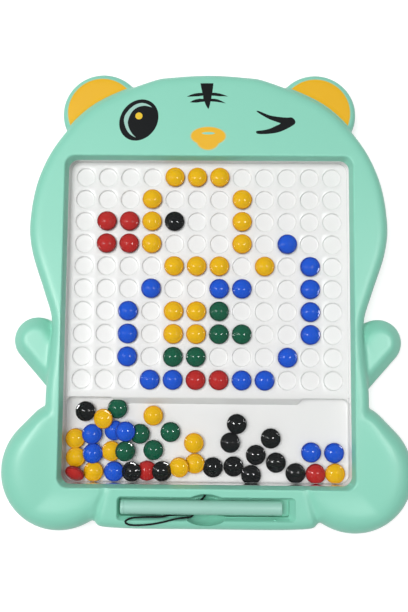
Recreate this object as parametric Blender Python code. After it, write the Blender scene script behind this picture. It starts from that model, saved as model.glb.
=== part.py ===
"""Magnetic bead drawing board, shaped as an animal cub, lying on its back.

X is to the right, Y goes up to the ears and Z comes out of the board's face.
Every size below is in millimetres and is turned into metres where a mesh is made.
"""
import math

import bmesh
import bpy
from mathutils import Matrix, Vector

MM = 0.001

# Bead grid, from which the tray, the window and the casing take their sizes
COLUMNS = 12
ROWS = 10
PITCH = 16.6
BEAD_PITCH_SHARE = 0.43675
POCKET_BEAD_SHARE = 8.455
PLATE_SIDE_MARGIN = 3.6
PLATE_TOP_MARGIN = 3.3
PLATE_FRONT_MARGIN = 4.4

# Casing round the window
WINDOW_CLEARANCE = 1.2
SIDE_BAR = 8.135
WAIST_SHARE = 0.863
FOREHEAD = 64.5
BOTTOM_BAR = 32.1
FACE_Z = 24.5
WALL = 2.2
FIT_GAP = 0.3
OVERRUN = 1.0
MERGE_DISTANCE = 0.001

# Edges of the casing's lobes: how far each rounded edge runs in, and how far it drops
BODY_EDGE = 7.5
BODY_EDGE_DROP = 8.0
EAR_RADIUS = 30.1
EAR_SET_IN = 51.7
EAR_DROP = 5.2
EAR_EDGE = 5.0
ARM_RADIUS = 16.8
ARM_SET_IN = 5.6
ARM_BELOW_WINDOW = 15.3
ARM_ROOT_SHARE = 0.774
ARM_ROOT_OFFSET_SHARES = (-1.119, -1.607)
ARM_DROP = 6.5
ARM_EDGE = 5.5
FOOT_RADIUS = 42.4
FOOT_SET_IN = 25.6
FOOT_SHOULDER_SHARE = 0.507
FOOT_SHOULDER_OFFSET_SHARES = (0.092, 0.6108)
FOOT_RISE = 2.0
FOOT_EDGE_SHARE = 0.401
FOOT_EDGE_DROP_SHARE = 0.4127
DOME_POWER = 2.3
LOBE_COUNT = 7

# Window well and clear cover
WINDOW_CORNER = 7.0
WELL_DEPTH = 5.2
WELL_DRAFT = 1.8
WELL_LIP = 1.2
FLANGE_WIDTH = 4.0
FLANGE_THICKNESS = 1.1
COVER_RISE = 1.4
COVER_EDGE = 1.2
COVER_GROOVE = 0.8
COVER_SKIN = 1.8

# Bead tray
BACK_THICKNESS = 2.0
TRAY_WALL = 1.6
TRAY_CORNER = 5.5
TRAY_FLOOR = 2.0
PLATE_THICKNESS = 1.8
PLATE_STEP = 7.3
DIMPLE_INSET = 0.45
DIMPLE_WALL_RUN = 1.5
DIMPLE_DEPTH = 1.5
DIMPLE_SIDES = 8
RAMP_SET_IN = 33.7
RAMP_FOOT_SET_IN = 3.5
RAMP_RUN = 5.0
TRAY_RIB = 1.6
TRAY_RIB_COUNT = 3

# Beads
BEAD_SHOULDER_SHARE = 0.5931
BEAD_SHOULDER_HEIGHT = 2.55
BEAD_HALF_HEIGHT = 3.3
BEAD_SIDES = 9

# Pen and its slot
PEN_RADIUS = 5.05
PEN_LEFT_X = -59.9
PEN_RIGHT_X = 53.2
PEN_ABOVE_SLOT = 0.35
PEN_CHAMFER = 0.7
PEN_SIDES = 16
PEN_STANDS_PROUD = 0.6
MAGNET_RADIUS = 3.4
MAGNET_THICKNESS = 3.0
PLUG_STEM_RADIUS = 3.2
PLUG_STEM_LENGTH = 6.0
PLUG_CAP_LENGTH = 2.4
SLOT_END_GAP = 2.0
SLOT_SIDE_GAP = 3.0
SLOT_BAR_SHARE = 0.56854
SLOT_CORNER = 2.4
SLOT_FLOOR_SIDE_GAP = 0.45
SLOT_LEFT_DRAFT = 0.9
SLOT_RIGHT_DRAFT = 4.3
SCOOP_HALF_X = 17.0
SCOOP_HALF_Y = 10.9
SCOOP_BELOW_SLOT = 0.85
SCOOP_DEPTH = 13.5

# Tether
CORD_DIAMETER = 1.3
CORD_STEP_SHARE = 2.8
TETHER_HOLE_X = -1.0
TETHER_HOLE_DROP = 5.4
TETHER_HOLE_DEPTH = 1.0
PEN_HOLE_SET_IN = 7.7
PEN_HOLE_OFF_AXIS = 3.2
PEN_HOLE_HALF_LENGTH = 2.4
PEN_HOLE_DEPTH = 2.6
ROUND_END_SHARE = 0.95

# Screws and their bosses
BOSS_RADIUS = 3.6
SCREW_SHANK_RADIUS = 1.1
SCREW_HEAD_RADIUS = 2.6
SCREW_HEAD_HEIGHT = 1.5
SCREW_SINK = 0.2
SCREW_LENGTH = 10.5
SCREW_SIDES = 10
PILOT_GAP = 0.25
EAR_SCREW_SHARES = (0.36, 0.4745)
FOOT_SCREW_SHARES = (0.4528, -0.1392)

# Sizes and places that follow from the sizes above
BEAD_RADIUS = PITCH * BEAD_PITCH_SHARE
BEAD_SHOULDER_RADIUS = BEAD_RADIUS * BEAD_SHOULDER_SHARE
DIMPLE_RADIUS = BEAD_RADIUS - DIMPLE_INSET
DIMPLE_FLOOR_RADIUS = DIMPLE_RADIUS - DIMPLE_WALL_RUN
POCKET_LENGTH = BEAD_RADIUS * POCKET_BEAD_SHARE
TRAY_HALF_X = COLUMNS * PITCH / 2 + PLATE_SIDE_MARGIN
TRAY_HALF_Y = (ROWS * PITCH + PLATE_TOP_MARGIN + PLATE_FRONT_MARGIN + POCKET_LENGTH) / 2
WINDOW_HALF_X = TRAY_HALF_X + WINDOW_CLEARANCE
WINDOW_HALF_Y = TRAY_HALF_Y + WINDOW_CLEARANCE
LENGTH = FOREHEAD + 2 * WINDOW_HALF_Y + BOTTOM_BAR
HALF_LENGTH = LENGTH / 2
HEAD_HALF_WIDTH = (WINDOW_HALF_X + SIDE_BAR) / WAIST_SHARE
WINDOW_Y = WINDOW_HALF_Y + BOTTOM_BAR - HALF_LENGTH
FIRST_ROW_Y = WINDOW_Y + TRAY_HALF_Y - PLATE_TOP_MARGIN - PITCH / 2
PLATE_EDGE_Y = WINDOW_Y - TRAY_HALF_Y + POCKET_LENGTH
RAMP_HALF_WIDTH = TRAY_HALF_X - RAMP_SET_IN
RAMP_FOOT_HALF_WIDTH = RAMP_HALF_WIDTH - RAMP_FOOT_SET_IN
EAR_X = HEAD_HALF_WIDTH - EAR_SET_IN
EAR_Y = HALF_LENGTH - EAR_RADIUS
ARM_X = HEAD_HALF_WIDTH - ARM_SET_IN
ARM_Y = WINDOW_Y - ARM_BELOW_WINDOW
ARM_ROOT_RADIUS = ARM_RADIUS * ARM_ROOT_SHARE
ARM_ROOT_X = ARM_X + ARM_RADIUS * ARM_ROOT_OFFSET_SHARES[0]
ARM_ROOT_Y = ARM_Y + ARM_RADIUS * ARM_ROOT_OFFSET_SHARES[1]
FOOT_X = HEAD_HALF_WIDTH - FOOT_SET_IN
FOOT_Y = FOOT_RADIUS - HALF_LENGTH
FOOT_EDGE = FOOT_RADIUS * FOOT_EDGE_SHARE
FOOT_EDGE_DROP = FOOT_RADIUS * FOOT_EDGE_DROP_SHARE
FOOT_SHOULDER_RADIUS = FOOT_RADIUS * FOOT_SHOULDER_SHARE
FOOT_SHOULDER_X = FOOT_X + FOOT_RADIUS * FOOT_SHOULDER_OFFSET_SHARES[0]
FOOT_SHOULDER_Y = FOOT_Y + FOOT_RADIUS * FOOT_SHOULDER_OFFSET_SHARES[1]
SLOT_Y = BOTTOM_BAR * SLOT_BAR_SHARE - HALF_LENGTH
SLOT_HALF_X = SLOT_END_GAP - PEN_LEFT_X
SLOT_HALF_Y = PEN_RADIUS + SLOT_SIDE_GAP
SLOT_FLOOR_HALF_Y = PEN_RADIUS + SLOT_FLOOR_SIDE_GAP
SCOOP_Y = SLOT_Y - SCOOP_BELOW_SLOT
PEN_Y = SLOT_Y + PEN_ABOVE_SLOT
PEN_HOLE_X = PEN_LEFT_X + PEN_HOLE_SET_IN
EAR_Z = FACE_Z - EAR_DROP
ARM_Z = FACE_Z - ARM_DROP
FOOT_Z = FACE_Z + FOOT_RISE
WELL_FLOOR_Z = FACE_Z - WELL_DEPTH
FLANGE_TOP_Z = WELL_FLOOR_Z - FIT_GAP
COVER_UNDER_Z = FLANGE_TOP_Z - FLANGE_THICKNESS
TRAY_TOP_Z = COVER_UNDER_Z - FIT_GAP
TRAY_BASE_Z = BACK_THICKNESS + FIT_GAP
POCKET_Z = TRAY_BASE_Z + TRAY_FLOOR
PLATE_Z = POCKET_Z + PLATE_STEP
PEN_Z = FACE_Z + PEN_STANDS_PROUD - PEN_RADIUS
SLOT_FLOOR_Z = PEN_Z - PEN_RADIUS - FIT_GAP

# Half of the head and body outline, right side, from the crown to the bottom edge,
# as shares of the head's half width and of half the length
BODY_OUTLINE_SHARES = (
    (0.0, 0.992), (0.184, 0.984), (0.337, 0.963), (0.644, 0.856), (0.844, 0.698),
    (0.958, 0.523), (1.0, 0.335), (0.984, 0.195), (0.910, 0.020), (0.863, -0.105),
    (0.867, -0.254), (0.887, -0.422), (0.874, -0.590), (0.817, -0.746), (0.721, -0.871),
    (0.617, -0.949), (0.514, -0.979), (0.0, -0.982))

# The picture laid on the plate: the cells, as row and column, that are each colour's share
PICTURE_SHARES = {
    "yellow": ((1, 5), (1, 6), (1, 7), (2, 4), (2, 8), (3, 4), (3, 8), (4, 4), (4, 8),
               (5, 5), (5, 6), (5, 7), (5, 9), (7, 5), (7, 6), (8, 5), (8, 6)),
    "red": ((3, 2), (3, 3), (4, 2), (4, 3), (10, 6), (10, 7)),
    "black": ((3, 5),),
    "blue": ((4, 10), (5, 11), (6, 4), (6, 7), (6, 8), (6, 11), (7, 3), (7, 11), (8, 3),
             (8, 11), (9, 3), (9, 10), (10, 4), (10, 5), (10, 8), (10, 9)),
    "green": ((7, 7), (8, 7), (8, 8), (9, 5), (9, 6)),
}

# Loose beads in the pocket, in bead radii in from the tray's side wall and up from its
# bottom wall. The beads of one heap touch, so each heap is one piece.
HEAP_SHARES = (
    (2.08, 6.90), (5.17, 7.00), (3.76, 6.28), (2.72, 4.70), (4.92, 5.10), (6.08, 5.05),
    (7.46, 4.79), (1.06, 4.24), (1.09, 2.50), (2.84, 2.86), (4.70, 2.90), (6.11, 3.08),
    (8.60, 2.92), (1.09, 1.04), (2.90, 1.05), (4.75, 1.08), (6.60, 1.12), (8.22, 1.17),
    (9.75, 1.19), (11.45, 1.57), (13.10, 1.85), (12.92, 3.62), (14.85, 1.60), (16.62, 1.62),
    (18.34, 1.12), (18.85, 2.82), (20.60, 2.42))
CORNER_HEAP_SHARES = ((5.43, 1.06), (3.50, 1.05), (1.62, 1.06), (1.66, 2.86), (3.60, 2.90))
BEAD_PAIR_SHARES = ((17.16, 5.85), (16.51, 4.04))

# Tether route from the pen's axis, chosen by hand: out of its hole, under the pen, left beside
# the pen, round the loop on the face, back under the pen and along it into the hole near its tail
CORD_ROUTE = (
    (-1.0, 9.4, -0.95), (-1.0, 7.7, -0.95), (-2.9, 5.1, -3.65), (-5.2, 2.3, -6.05), (-7.2, -0.7, -6.35),
    (-9.2, -3.5, -4.75), (-13.5, -5.0, -4.05), (-20.0, -5.2, -3.65), (-26.0, -5.9, -1.05),
    (-32.0, -6.4, 1.55), (-40.0, -6.4, 2.35), (-47.5, -6.5, 3.15), (-52.8, -7.1, 4.55),
    (-56.0, -9.0, 5.2), (-54.0, -11.1, 4.65), (-48.0, -11.7, 4.3), (-38.0, -10.8, 4.85),
    (-28.5, -8.8, 5.4), (-21.5, -7.1, 4.55), (-15.5, -6.6, 2.65), (-10.8, -6.6, -0.25),
    (-9.2, -5.5, -2.65), (-11.6, -4.2, -4.35), (-18.0, -3.7, -4.55), (-30.0, -3.7, -4.55),
    (-42.0, -3.7, -4.55), (-48.5, -3.7, -4.55), (-50.8, -3.5, -4.45), (-52.4, -3.3, -3.95),
    (-53.2, -3.2, -3.05))

MINT = (0.30, 0.71, 0.52)
PALE_MINT = (0.33, 0.62, 0.53)
COLOURS = {
    "yellow": (0.83, 0.46, 0.004), "red": (0.52, 0.02, 0.022), "blue": (0.006, 0.06, 0.61),
    "green": (0.008, 0.11, 0.06), "black": (0.006, 0.007, 0.008)}


def start_scene():
    for item in list(bpy.data.objects):
        bpy.data.objects.remove(item, do_unlink=True)
    made = []
    for name in ("magnetic_drawing_board", "cutters"):
        collection = bpy.data.collections.new(name)
        bpy.context.scene.collection.children.link(collection)
        made.append(collection)
    return made


PARTS, CUTTERS = start_scene()


def material(name, colour, roughness, metallic=0.0, alpha=1.0):
    made = bpy.data.materials.new(name)
    made.use_nodes = True
    shader = made.node_tree.nodes["Principled BSDF"]
    shader.inputs["Base Color"].default_value = (*colour, 1.0)
    shader.inputs["Roughness"].default_value = roughness
    shader.inputs["Metallic"].default_value = metallic
    shader.inputs["Alpha"].default_value = alpha
    return made


def link(mesh, name, finish):
    """Puts a mesh in the scene as a part, or as a hidden cutter if it has no finish."""
    made = bpy.data.objects.new(name, mesh)
    if finish:
        mesh.materials.append(finish)
        PARTS.objects.link(made)
    else:
        made.hide_render = True
        made.display_type = "WIRE"
        CUTTERS.objects.link(made)
    return made


def finish_mesh(bm, name, finish, smooth_angle=None):
    mesh = bpy.data.meshes.new(name)
    bmesh.ops.recalc_face_normals(bm, faces=bm.faces[:])
    bm.to_mesh(mesh)
    bm.free()
    if smooth_angle:
        mesh.shade_smooth()
        mesh.set_sharp_from_angle(angle=smooth_angle)
    return link(mesh, name, finish)


def loft_into(bm, rings):
    """Joins rings of equal count, given as (points, height), and caps both ends."""
    loops = []
    for points, height in rings:
        loops.append([bm.verts.new((x * MM, y * MM, height * MM)) for x, y in points])
    for lower, upper in zip(loops, loops[1:]):
        for i in range(len(lower)):
            j = (i + 1) % len(lower)
            bm.faces.new((lower[i], lower[j], upper[j], upper[i]))
    bm.faces.new(loops[0][::-1])
    bm.faces.new(loops[-1])


def loft(name, rings, finish=None, smooth_angle=None):
    bm = bmesh.new()
    loft_into(bm, rings)
    return finish_mesh(bm, name, finish, smooth_angle)


def boolean(target, operation, *cutters):
    for cutter in cutters:
        change = target.modifiers.new(operation.lower() + "_" + cutter.name, "BOOLEAN")
        change.operation = operation
        change.solver = "EXACT"
        change.object = cutter


def spline(points, steps):
    """Closed smooth curve through the points."""
    count = len(points)
    curve = []
    for i in range(count):
        p0, p1, p2, p3 = (Vector(points[(i + k - 1) % count]) for k in range(4))
        for s in range(steps):
            t = s / steps
            curve.append(tuple(0.5 * (2 * p1 + (p2 - p0) * t + (2 * p0 - 5 * p1 + 4 * p2 - p3) * t * t
                                      + (3 * p1 - p0 - 3 * p2 + p3) * t ** 3)))
    return curve


def mirrored_outline(half_points):
    right = list(half_points)
    left = [(-x, y) for x, y in right[-2:0:-1]]
    return (right + left)[::-1]


def circle(x, y, radius, sides, turn=0.0):
    return [(x + radius * math.cos(2 * math.pi * i / sides + turn),
             y + radius * math.sin(2 * math.pi * i / sides + turn)) for i in range(sides)]


def rounded_box(x, y, half_x, half_y, corner, steps=4):
    points = []
    for quadrant in range(4):
        across = (1, -1, -1, 1)[quadrant]
        up = (1, 1, -1, -1)[quadrant]
        for s in range(steps + 1):
            angle = (quadrant + s / steps) * math.pi / 2
            points.append((x + across * (half_x - corner) + corner * math.cos(angle),
                           y + up * (half_y - corner) + corner * math.sin(angle)))
    return points


def hull_of_two(first, second, sides):
    """Outline round two circles, each (x, y, radius): a big one and a smaller one."""
    x1, y1, r1 = first
    x2, y2, r2 = second
    apart = math.hypot(x2 - x1, y2 - y1)
    along = math.atan2(y2 - y1, x2 - x1)
    half = math.acos((r1 - r2) / apart)
    points = []
    big_steps = round(sides * (math.pi - half) / math.pi)
    for i in range(big_steps + 1):
        angle = along + half + (2 * math.pi - 2 * half) * i / big_steps
        points.append((x1 + r1 * math.cos(angle), y1 + r1 * math.sin(angle)))
    small_steps = sides - big_steps
    for i in range(small_steps + 1):
        angle = along - half + 2 * half * i / small_steps
        points.append((x2 + r2 * math.cos(angle), y2 + r2 * math.sin(angle)))
    return points


def inset(points, distance):
    """The outline moved inwards by a distance; the points run anticlockwise."""
    moved = []
    for i, point in enumerate(points):
        before = Vector(points[i - 1])
        after = Vector(points[(i + 1) % len(points)])
        along = (after - before).normalized()
        moved.append((point[0] - along.y * distance, point[1] + along.x * distance))
    return moved


def lobe_rings(outline, base, top, edge, drop, steps, power=2.0):
    """Rings of a lobe: an upright wall, then an edge that curves over to a flat top."""
    rings = [(outline, base), (outline, top - drop)]
    for s in range(1, steps + 1):
        run = 1 - math.cos(s / steps * math.pi / 2)
        rise = (1 - (1 - run) ** power) ** (1 / power)
        rings.append((inset(outline, edge * run), top - drop + drop * rise))
    return rings


def mirrored_pair(outline):
    return outline, [(-x, y) for x, y in outline][::-1]


def lobe_shapes():
    """The casing's seven lobes: name, outline, top height, edge run, edge drop, edge power."""
    body = spline(mirrored_outline([(x * HEAD_HALF_WIDTH, y * HALF_LENGTH)
                                    for x, y in BODY_OUTLINE_SHARES]), 2)
    ear = circle(EAR_X, EAR_Y, EAR_RADIUS, 24)
    arm = hull_of_two((ARM_X, ARM_Y, ARM_RADIUS), (ARM_ROOT_X, ARM_ROOT_Y, ARM_ROOT_RADIUS), 20)
    foot = hull_of_two((FOOT_X, FOOT_Y, FOOT_RADIUS),
                       (FOOT_SHOULDER_X, FOOT_SHOULDER_Y, FOOT_SHOULDER_RADIUS), 30)
    shapes = [("body", body, FACE_Z, BODY_EDGE, BODY_EDGE_DROP, 2.0)]
    for side, index in (("right", 0), ("left", 1)):
        shapes.append((side + "_ear", mirrored_pair(ear)[index], EAR_Z, EAR_EDGE, EAR_EDGE, 2.0))
        shapes.append((side + "_arm", mirrored_pair(arm)[index], ARM_Z, ARM_EDGE, ARM_EDGE, 2.0))
        shapes.append((side + "_foot", mirrored_pair(foot)[index], FOOT_Z, FOOT_EDGE,
                       FOOT_EDGE_DROP, DOME_POWER))
    return shapes


def fused_lobes(prefix, shrink, low, high, steps, flat=False):
    """All the lobes as one solid between two heights, drawn in by shrink, with flat tops or not."""
    made = []
    for name, outline, top, edge, drop, power in lobe_shapes():
        drawn_in = inset(outline, shrink) if shrink else outline
        spread = OVERRUN * (1 + len(made) / LOBE_COUNT)
        if flat:
            rings = [(drawn_in, low - spread), (drawn_in, high + spread)]
        else:
            rings = lobe_rings(drawn_in, low - spread, top - shrink, edge, drop, steps, power)
        made.append(loft(prefix + "_" + name, rings))
    boolean(made[0], "UNION", *made[1:])
    boolean(made[0], "INTERSECT", block(prefix + "_slab", (-LENGTH, -LENGTH, low), (LENGTH, LENGTH, high)))
    return made[0]


def show(piece, name, finish):
    """Turns a cutter into a part."""
    CUTTERS.objects.unlink(piece)
    PARTS.objects.link(piece)
    piece.name = name
    piece.data.materials.append(finish)
    piece.hide_render = False
    piece.display_type = "TEXTURED"
    return piece


def screw_places():
    lobes = ((EAR_X, EAR_Y, EAR_RADIUS, EAR_SCREW_SHARES, EAR_Z),
             (FOOT_X, FOOT_Y, FOOT_RADIUS, FOOT_SCREW_SHARES, FOOT_Z))
    return [(side * (x + radius * shares[0]), y + radius * shares[1], top)
            for x, y, radius, shares, top in lobes for side in (1, -1)]


def ellipsoid(name, centre, half_sizes, segments, rings, finish=None):
    bm = bmesh.new()
    bmesh.ops.create_uvsphere(bm, u_segments=segments, v_segments=rings, radius=MM)
    bmesh.ops.scale(bm, verts=bm.verts[:], vec=half_sizes)
    bmesh.ops.translate(bm, verts=bm.verts[:], vec=[value * MM for value in centre])
    return finish_mesh(bm, name, finish)


def cylinders(name, places, finish=None):
    """Round posts as one object; each place is x, y and a list of (height, radius)."""
    bm = bmesh.new()
    for x, y, profile in places:
        loft_into(bm, [(circle(x, y, radius, SCREW_SIDES), height) for height, radius in profile])
    return finish_mesh(bm, name, finish)


def slot_rings(grow):
    """The pen slot, or the pan round it when grown: a steep left end and a sloping right end."""
    rings = []
    bottom = SLOT_FLOOR_Z - grow
    top = FACE_Z - OVERRUN if grow else FACE_Z + OVERRUN
    for height in (bottom, FACE_Z, top) if not grow else (bottom, top):
        share = min((height - SLOT_FLOOR_Z) / (FACE_Z - SLOT_FLOOR_Z), 1.0)
        down = 1 - max(share, 0.0)
        left = -SLOT_HALF_X + SLOT_LEFT_DRAFT * down
        right = SLOT_HALF_X - SLOT_RIGHT_DRAFT * down
        half_y = SLOT_HALF_Y + (SLOT_FLOOR_HALF_Y - SLOT_HALF_Y) * down
        rings.append((rounded_box((left + right) / 2, SLOT_Y, (right - left) / 2 + grow,
                                  half_y + grow, SLOT_CORNER + grow), height))
    return rings


def window_box(half_growth, corner_growth=0.0):
    return rounded_box(0, WINDOW_Y, WINDOW_HALF_X + half_growth, WINDOW_HALF_Y + half_growth,
                       WINDOW_CORNER + corner_growth)


def make_front_shell():
    shell = show(fused_lobes("outer", 0.0, 0.0, FOOT_Z + OVERRUN, 3), "front_shell",
                 material("mint_casing", MINT, 0.32))
    boolean(shell, "DIFFERENCE", fused_lobes("cavity", WALL, -OVERRUN, FOOT_Z, 2))
    skirt = loft("well_skirt", [(window_box(WALL), WELL_FLOOR_Z), (window_box(WALL), FACE_Z - OVERRUN)])
    pan = loft("slot_pan", slot_rings(WALL))
    scoop_place = (0, SCOOP_Y, FACE_Z)
    scoop_pan = ellipsoid("scoop_pan", scoop_place,
                          (SCOOP_HALF_X + WALL, SCOOP_HALF_Y + WALL, SCOOP_DEPTH + WALL), 14, 8)
    lid = loft("scoop_lid", [(rounded_box(0, SCOOP_Y, SCOOP_HALF_X + 2 * WALL, SCOOP_HALF_Y + 2 * WALL,
                                          WALL), height)
                             for height in (FACE_Z - OVERRUN, FACE_Z + SCOOP_DEPTH + 2 * WALL)])
    boolean(scoop_pan, "DIFFERENCE", lid)
    bosses = cylinders("bosses", [(x, y, [(TRAY_BASE_Z, BOSS_RADIUS), (top - OVERRUN, BOSS_RADIUS)])
                                  for x, y, top in screw_places()])
    boolean(shell, "UNION", skirt, pan, scoop_pan, bosses)
    well = loft("well_cutter", [
        (window_box(-WELL_DRAFT), WELL_FLOOR_Z - OVERRUN),
        (window_box(-WELL_DRAFT), WELL_FLOOR_Z),
        (window_box(0), FACE_Z - WELL_LIP),
        (window_box(WELL_LIP * (1 - math.sqrt(0.5))), FACE_Z - WELL_LIP * (1 - math.sqrt(0.5))),
        (window_box(WELL_LIP + FIT_GAP), FACE_Z + FIT_GAP),
        (window_box(WELL_LIP + FIT_GAP), FOOT_Z + OVERRUN)])
    slot = loft("slot_cutter", slot_rings(0.0))
    scoop = ellipsoid("scoop_cutter", scoop_place, (SCOOP_HALF_X, SCOOP_HALF_Y, SCOOP_DEPTH), 18, 10)
    pilot = SCREW_SHANK_RADIUS + PILOT_GAP
    pilots = cylinders("pilot_cutter", [
        (x, y, [(TRAY_BASE_Z - OVERRUN, pilot), (SCREW_LENGTH + OVERRUN, pilot)])
        for x, y, top in screw_places()])
    boolean(shell, "DIFFERENCE", well, slot, scoop, pilots, tether_hole())
    return shell


def tether_hole():
    """A blind round hole into the upper wall of the finger scoop."""
    bm = bmesh.new()
    radius = (CORD_DIAMETER / 2 + FIT_GAP) * MM
    length = TETHER_HOLE_DEPTH + 2 * OVERRUN
    bmesh.ops.create_cone(bm, cap_ends=True, segments=SCREW_SIDES, radius1=radius, radius2=radius,
                          depth=length * MM)
    bmesh.ops.rotate(bm, verts=bm.verts[:], matrix=Matrix.Rotation(math.pi / 2, 3, "X"))
    wall_y = SCOOP_Y + SCOOP_HALF_Y * math.sqrt(1 - (TETHER_HOLE_DROP / SCOOP_DEPTH) ** 2)
    bmesh.ops.translate(bm, verts=bm.verts[:], vec=(
        TETHER_HOLE_X * MM, (wall_y + TETHER_HOLE_DEPTH - length / 2) * MM,
        (FACE_Z - TETHER_HOLE_DROP) * MM))
    return finish_mesh(bm, "tether_hole_cutter", None)


def make_back_cover():
    plate = fused_lobes("back", WALL + FIT_GAP, 0.0, BACK_THICKNESS, 1, True)
    cover = show(plate, "back_cover", material("mint_back", MINT, 0.45))
    hole = SCREW_SHANK_RADIUS + PILOT_GAP
    sink = SCREW_HEAD_RADIUS + FIT_GAP
    holes = cylinders("screw_hole_cutter", [
        (x, y, [(-OVERRUN, sink), (SCREW_SINK, sink), (SCREW_SINK + SCREW_HEAD_HEIGHT, hole),
                (BACK_THICKNESS + OVERRUN, hole)]) for x, y, top in screw_places()])
    boolean(cover, "DIFFERENCE", holes)
    return cover


def make_screws():
    steel = material("screw_steel", (0.42, 0.42, 0.44), 0.35, 1.0)
    profile = [(SCREW_SINK, SCREW_HEAD_RADIUS), (SCREW_SINK + SCREW_HEAD_HEIGHT, SCREW_SHANK_RADIUS),
               (SCREW_LENGTH, SCREW_SHANK_RADIUS)]
    for number, (x, y, top) in enumerate(screw_places(), 1):
        cylinders("back_screw_" + str(number), [(x, y, profile)], steel)


def make_clear_window():
    """A clear cover: a flange under the well's wall and a raised panel with a rounded edge."""
    clear = material("clear_styrene", (0.92, 0.95, 0.95), 0.08, 0.0, 0.35)
    panel = -WELL_DRAFT - COVER_GROOVE
    flange = -WELL_DRAFT + FLANGE_WIDTH
    top = FLANGE_TOP_Z + COVER_RISE
    quarter = COVER_EDGE * (1 - math.sqrt(0.5))
    window = loft("clear_window", [
        (window_box(flange, FLANGE_WIDTH), COVER_UNDER_Z),
        (window_box(flange, FLANGE_WIDTH), FLANGE_TOP_Z),
        (window_box(panel), FLANGE_TOP_Z),
        (window_box(panel), top - COVER_EDGE),
        (window_box(panel - quarter), top - quarter),
        (window_box(panel - COVER_EDGE), top)], clear)
    recess_inset = -WELL_DRAFT - FLANGE_WIDTH
    recess = loft("cover_recess_cutter", [
        (window_box(recess_inset), COVER_UNDER_Z - OVERRUN),
        (window_box(recess_inset), COVER_UNDER_Z),
        (window_box(recess_inset - COVER_GROOVE), top - COVER_SKIN)])
    boolean(window, "DIFFERENCE", recess)
    return window


def tray_box(growth):
    return rounded_box(0, WINDOW_Y, TRAY_HALF_X + growth, TRAY_HALF_Y + growth, TRAY_CORNER + growth)


def block(name, low, high):
    """A box from one corner to the other, as a cutter."""
    bm = bmesh.new()
    bmesh.ops.create_cube(bm, size=1.0)
    bmesh.ops.scale(bm, verts=bm.verts[:], vec=[(b - a) * MM for a, b in zip(low, high)])
    bmesh.ops.translate(bm, verts=bm.verts[:], vec=[(a + b) / 2 * MM for a, b in zip(low, high)])
    return finish_mesh(bm, name, None)


def plate_place(row, column):
    return ((column - (COLUMNS + 1) / 2) * PITCH, FIRST_ROW_Y - (row - 1) * PITCH)


def make_bead_tray():
    """One moulded tray: the dimpled plate, the ramp below it and the pocket."""
    white = material("white_tray", (0.87, 0.87, 0.855), 0.4)
    tray = loft("bead_tray", [(tray_box(TRAY_WALL), TRAY_BASE_Z), (tray_box(TRAY_WALL), TRAY_TOP_Z)], white)
    bottom_y = WINDOW_Y - TRAY_HALF_Y
    top_y = WINDOW_Y + TRAY_HALF_Y
    chamber = loft("chamber_cutter", [(tray_box(0), PLATE_Z), (tray_box(0), TRAY_TOP_Z + OVERRUN)])
    pocket = loft("pocket_cutter", [
        (rounded_box(0, (PLATE_EDGE_Y + bottom_y) / 2, TRAY_HALF_X, (PLATE_EDGE_Y - bottom_y) / 2,
                     TRAY_CORNER), height) for height in (POCKET_Z, PLATE_Z + OVERRUN)])
    boolean(tray, "DIFFERENCE", chamber, pocket)
    ramp = block("ramp", (-RAMP_HALF_WIDTH, PLATE_EDGE_Y - RAMP_RUN, POCKET_Z - OVERRUN),
                 (RAMP_HALF_WIDTH, PLATE_EDGE_Y + OVERRUN, PLATE_Z))
    front = (PLATE_EDGE_Y - RAMP_RUN + FIT_GAP) * MM
    for vertex in ramp.data.vertices:
        if vertex.co.y < front:
            if vertex.co.z > POCKET_Z * MM:
                vertex.co.z = (POCKET_Z + FIT_GAP) * MM
            vertex.co.x *= RAMP_FOOT_HALF_WIDTH / RAMP_HALF_WIDTH
    boolean(tray, "UNION", ramp)
    bay_low = PLATE_EDGE_Y + TRAY_WALL
    bay_high = top_y
    bays = TRAY_RIB_COUNT + 1
    bay = (bay_high - bay_low - TRAY_RIB_COUNT * TRAY_RIB) / bays
    for i in range(bays):
        low = bay_low + i * (bay + TRAY_RIB)
        boolean(tray, "DIFFERENCE", block(
            "underside_cutter_" + str(i + 1),
            (-TRAY_HALF_X + TRAY_CORNER, low, TRAY_BASE_Z - OVERRUN),
            (TRAY_HALF_X - TRAY_CORNER, low + bay, PLATE_Z - PLATE_THICKNESS - DIMPLE_DEPTH)))
    bm = bmesh.new()
    slope = (DIMPLE_RADIUS - DIMPLE_FLOOR_RADIUS) / DIMPLE_DEPTH
    for row in range(1, ROWS + 1):
        for column in range(1, COLUMNS + 1):
            x, y = plate_place(row, column)
            loft_into(bm, [(circle(x, y, DIMPLE_FLOOR_RADIUS, DIMPLE_SIDES), PLATE_Z - DIMPLE_DEPTH),
                           (circle(x, y, DIMPLE_RADIUS + slope * FIT_GAP, DIMPLE_SIDES), PLATE_Z + FIT_GAP)])
    dimples = finish_mesh(bm, "dimple_cutter", None)
    boolean(tray, "DIFFERENCE", dimples)
    return tray


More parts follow.
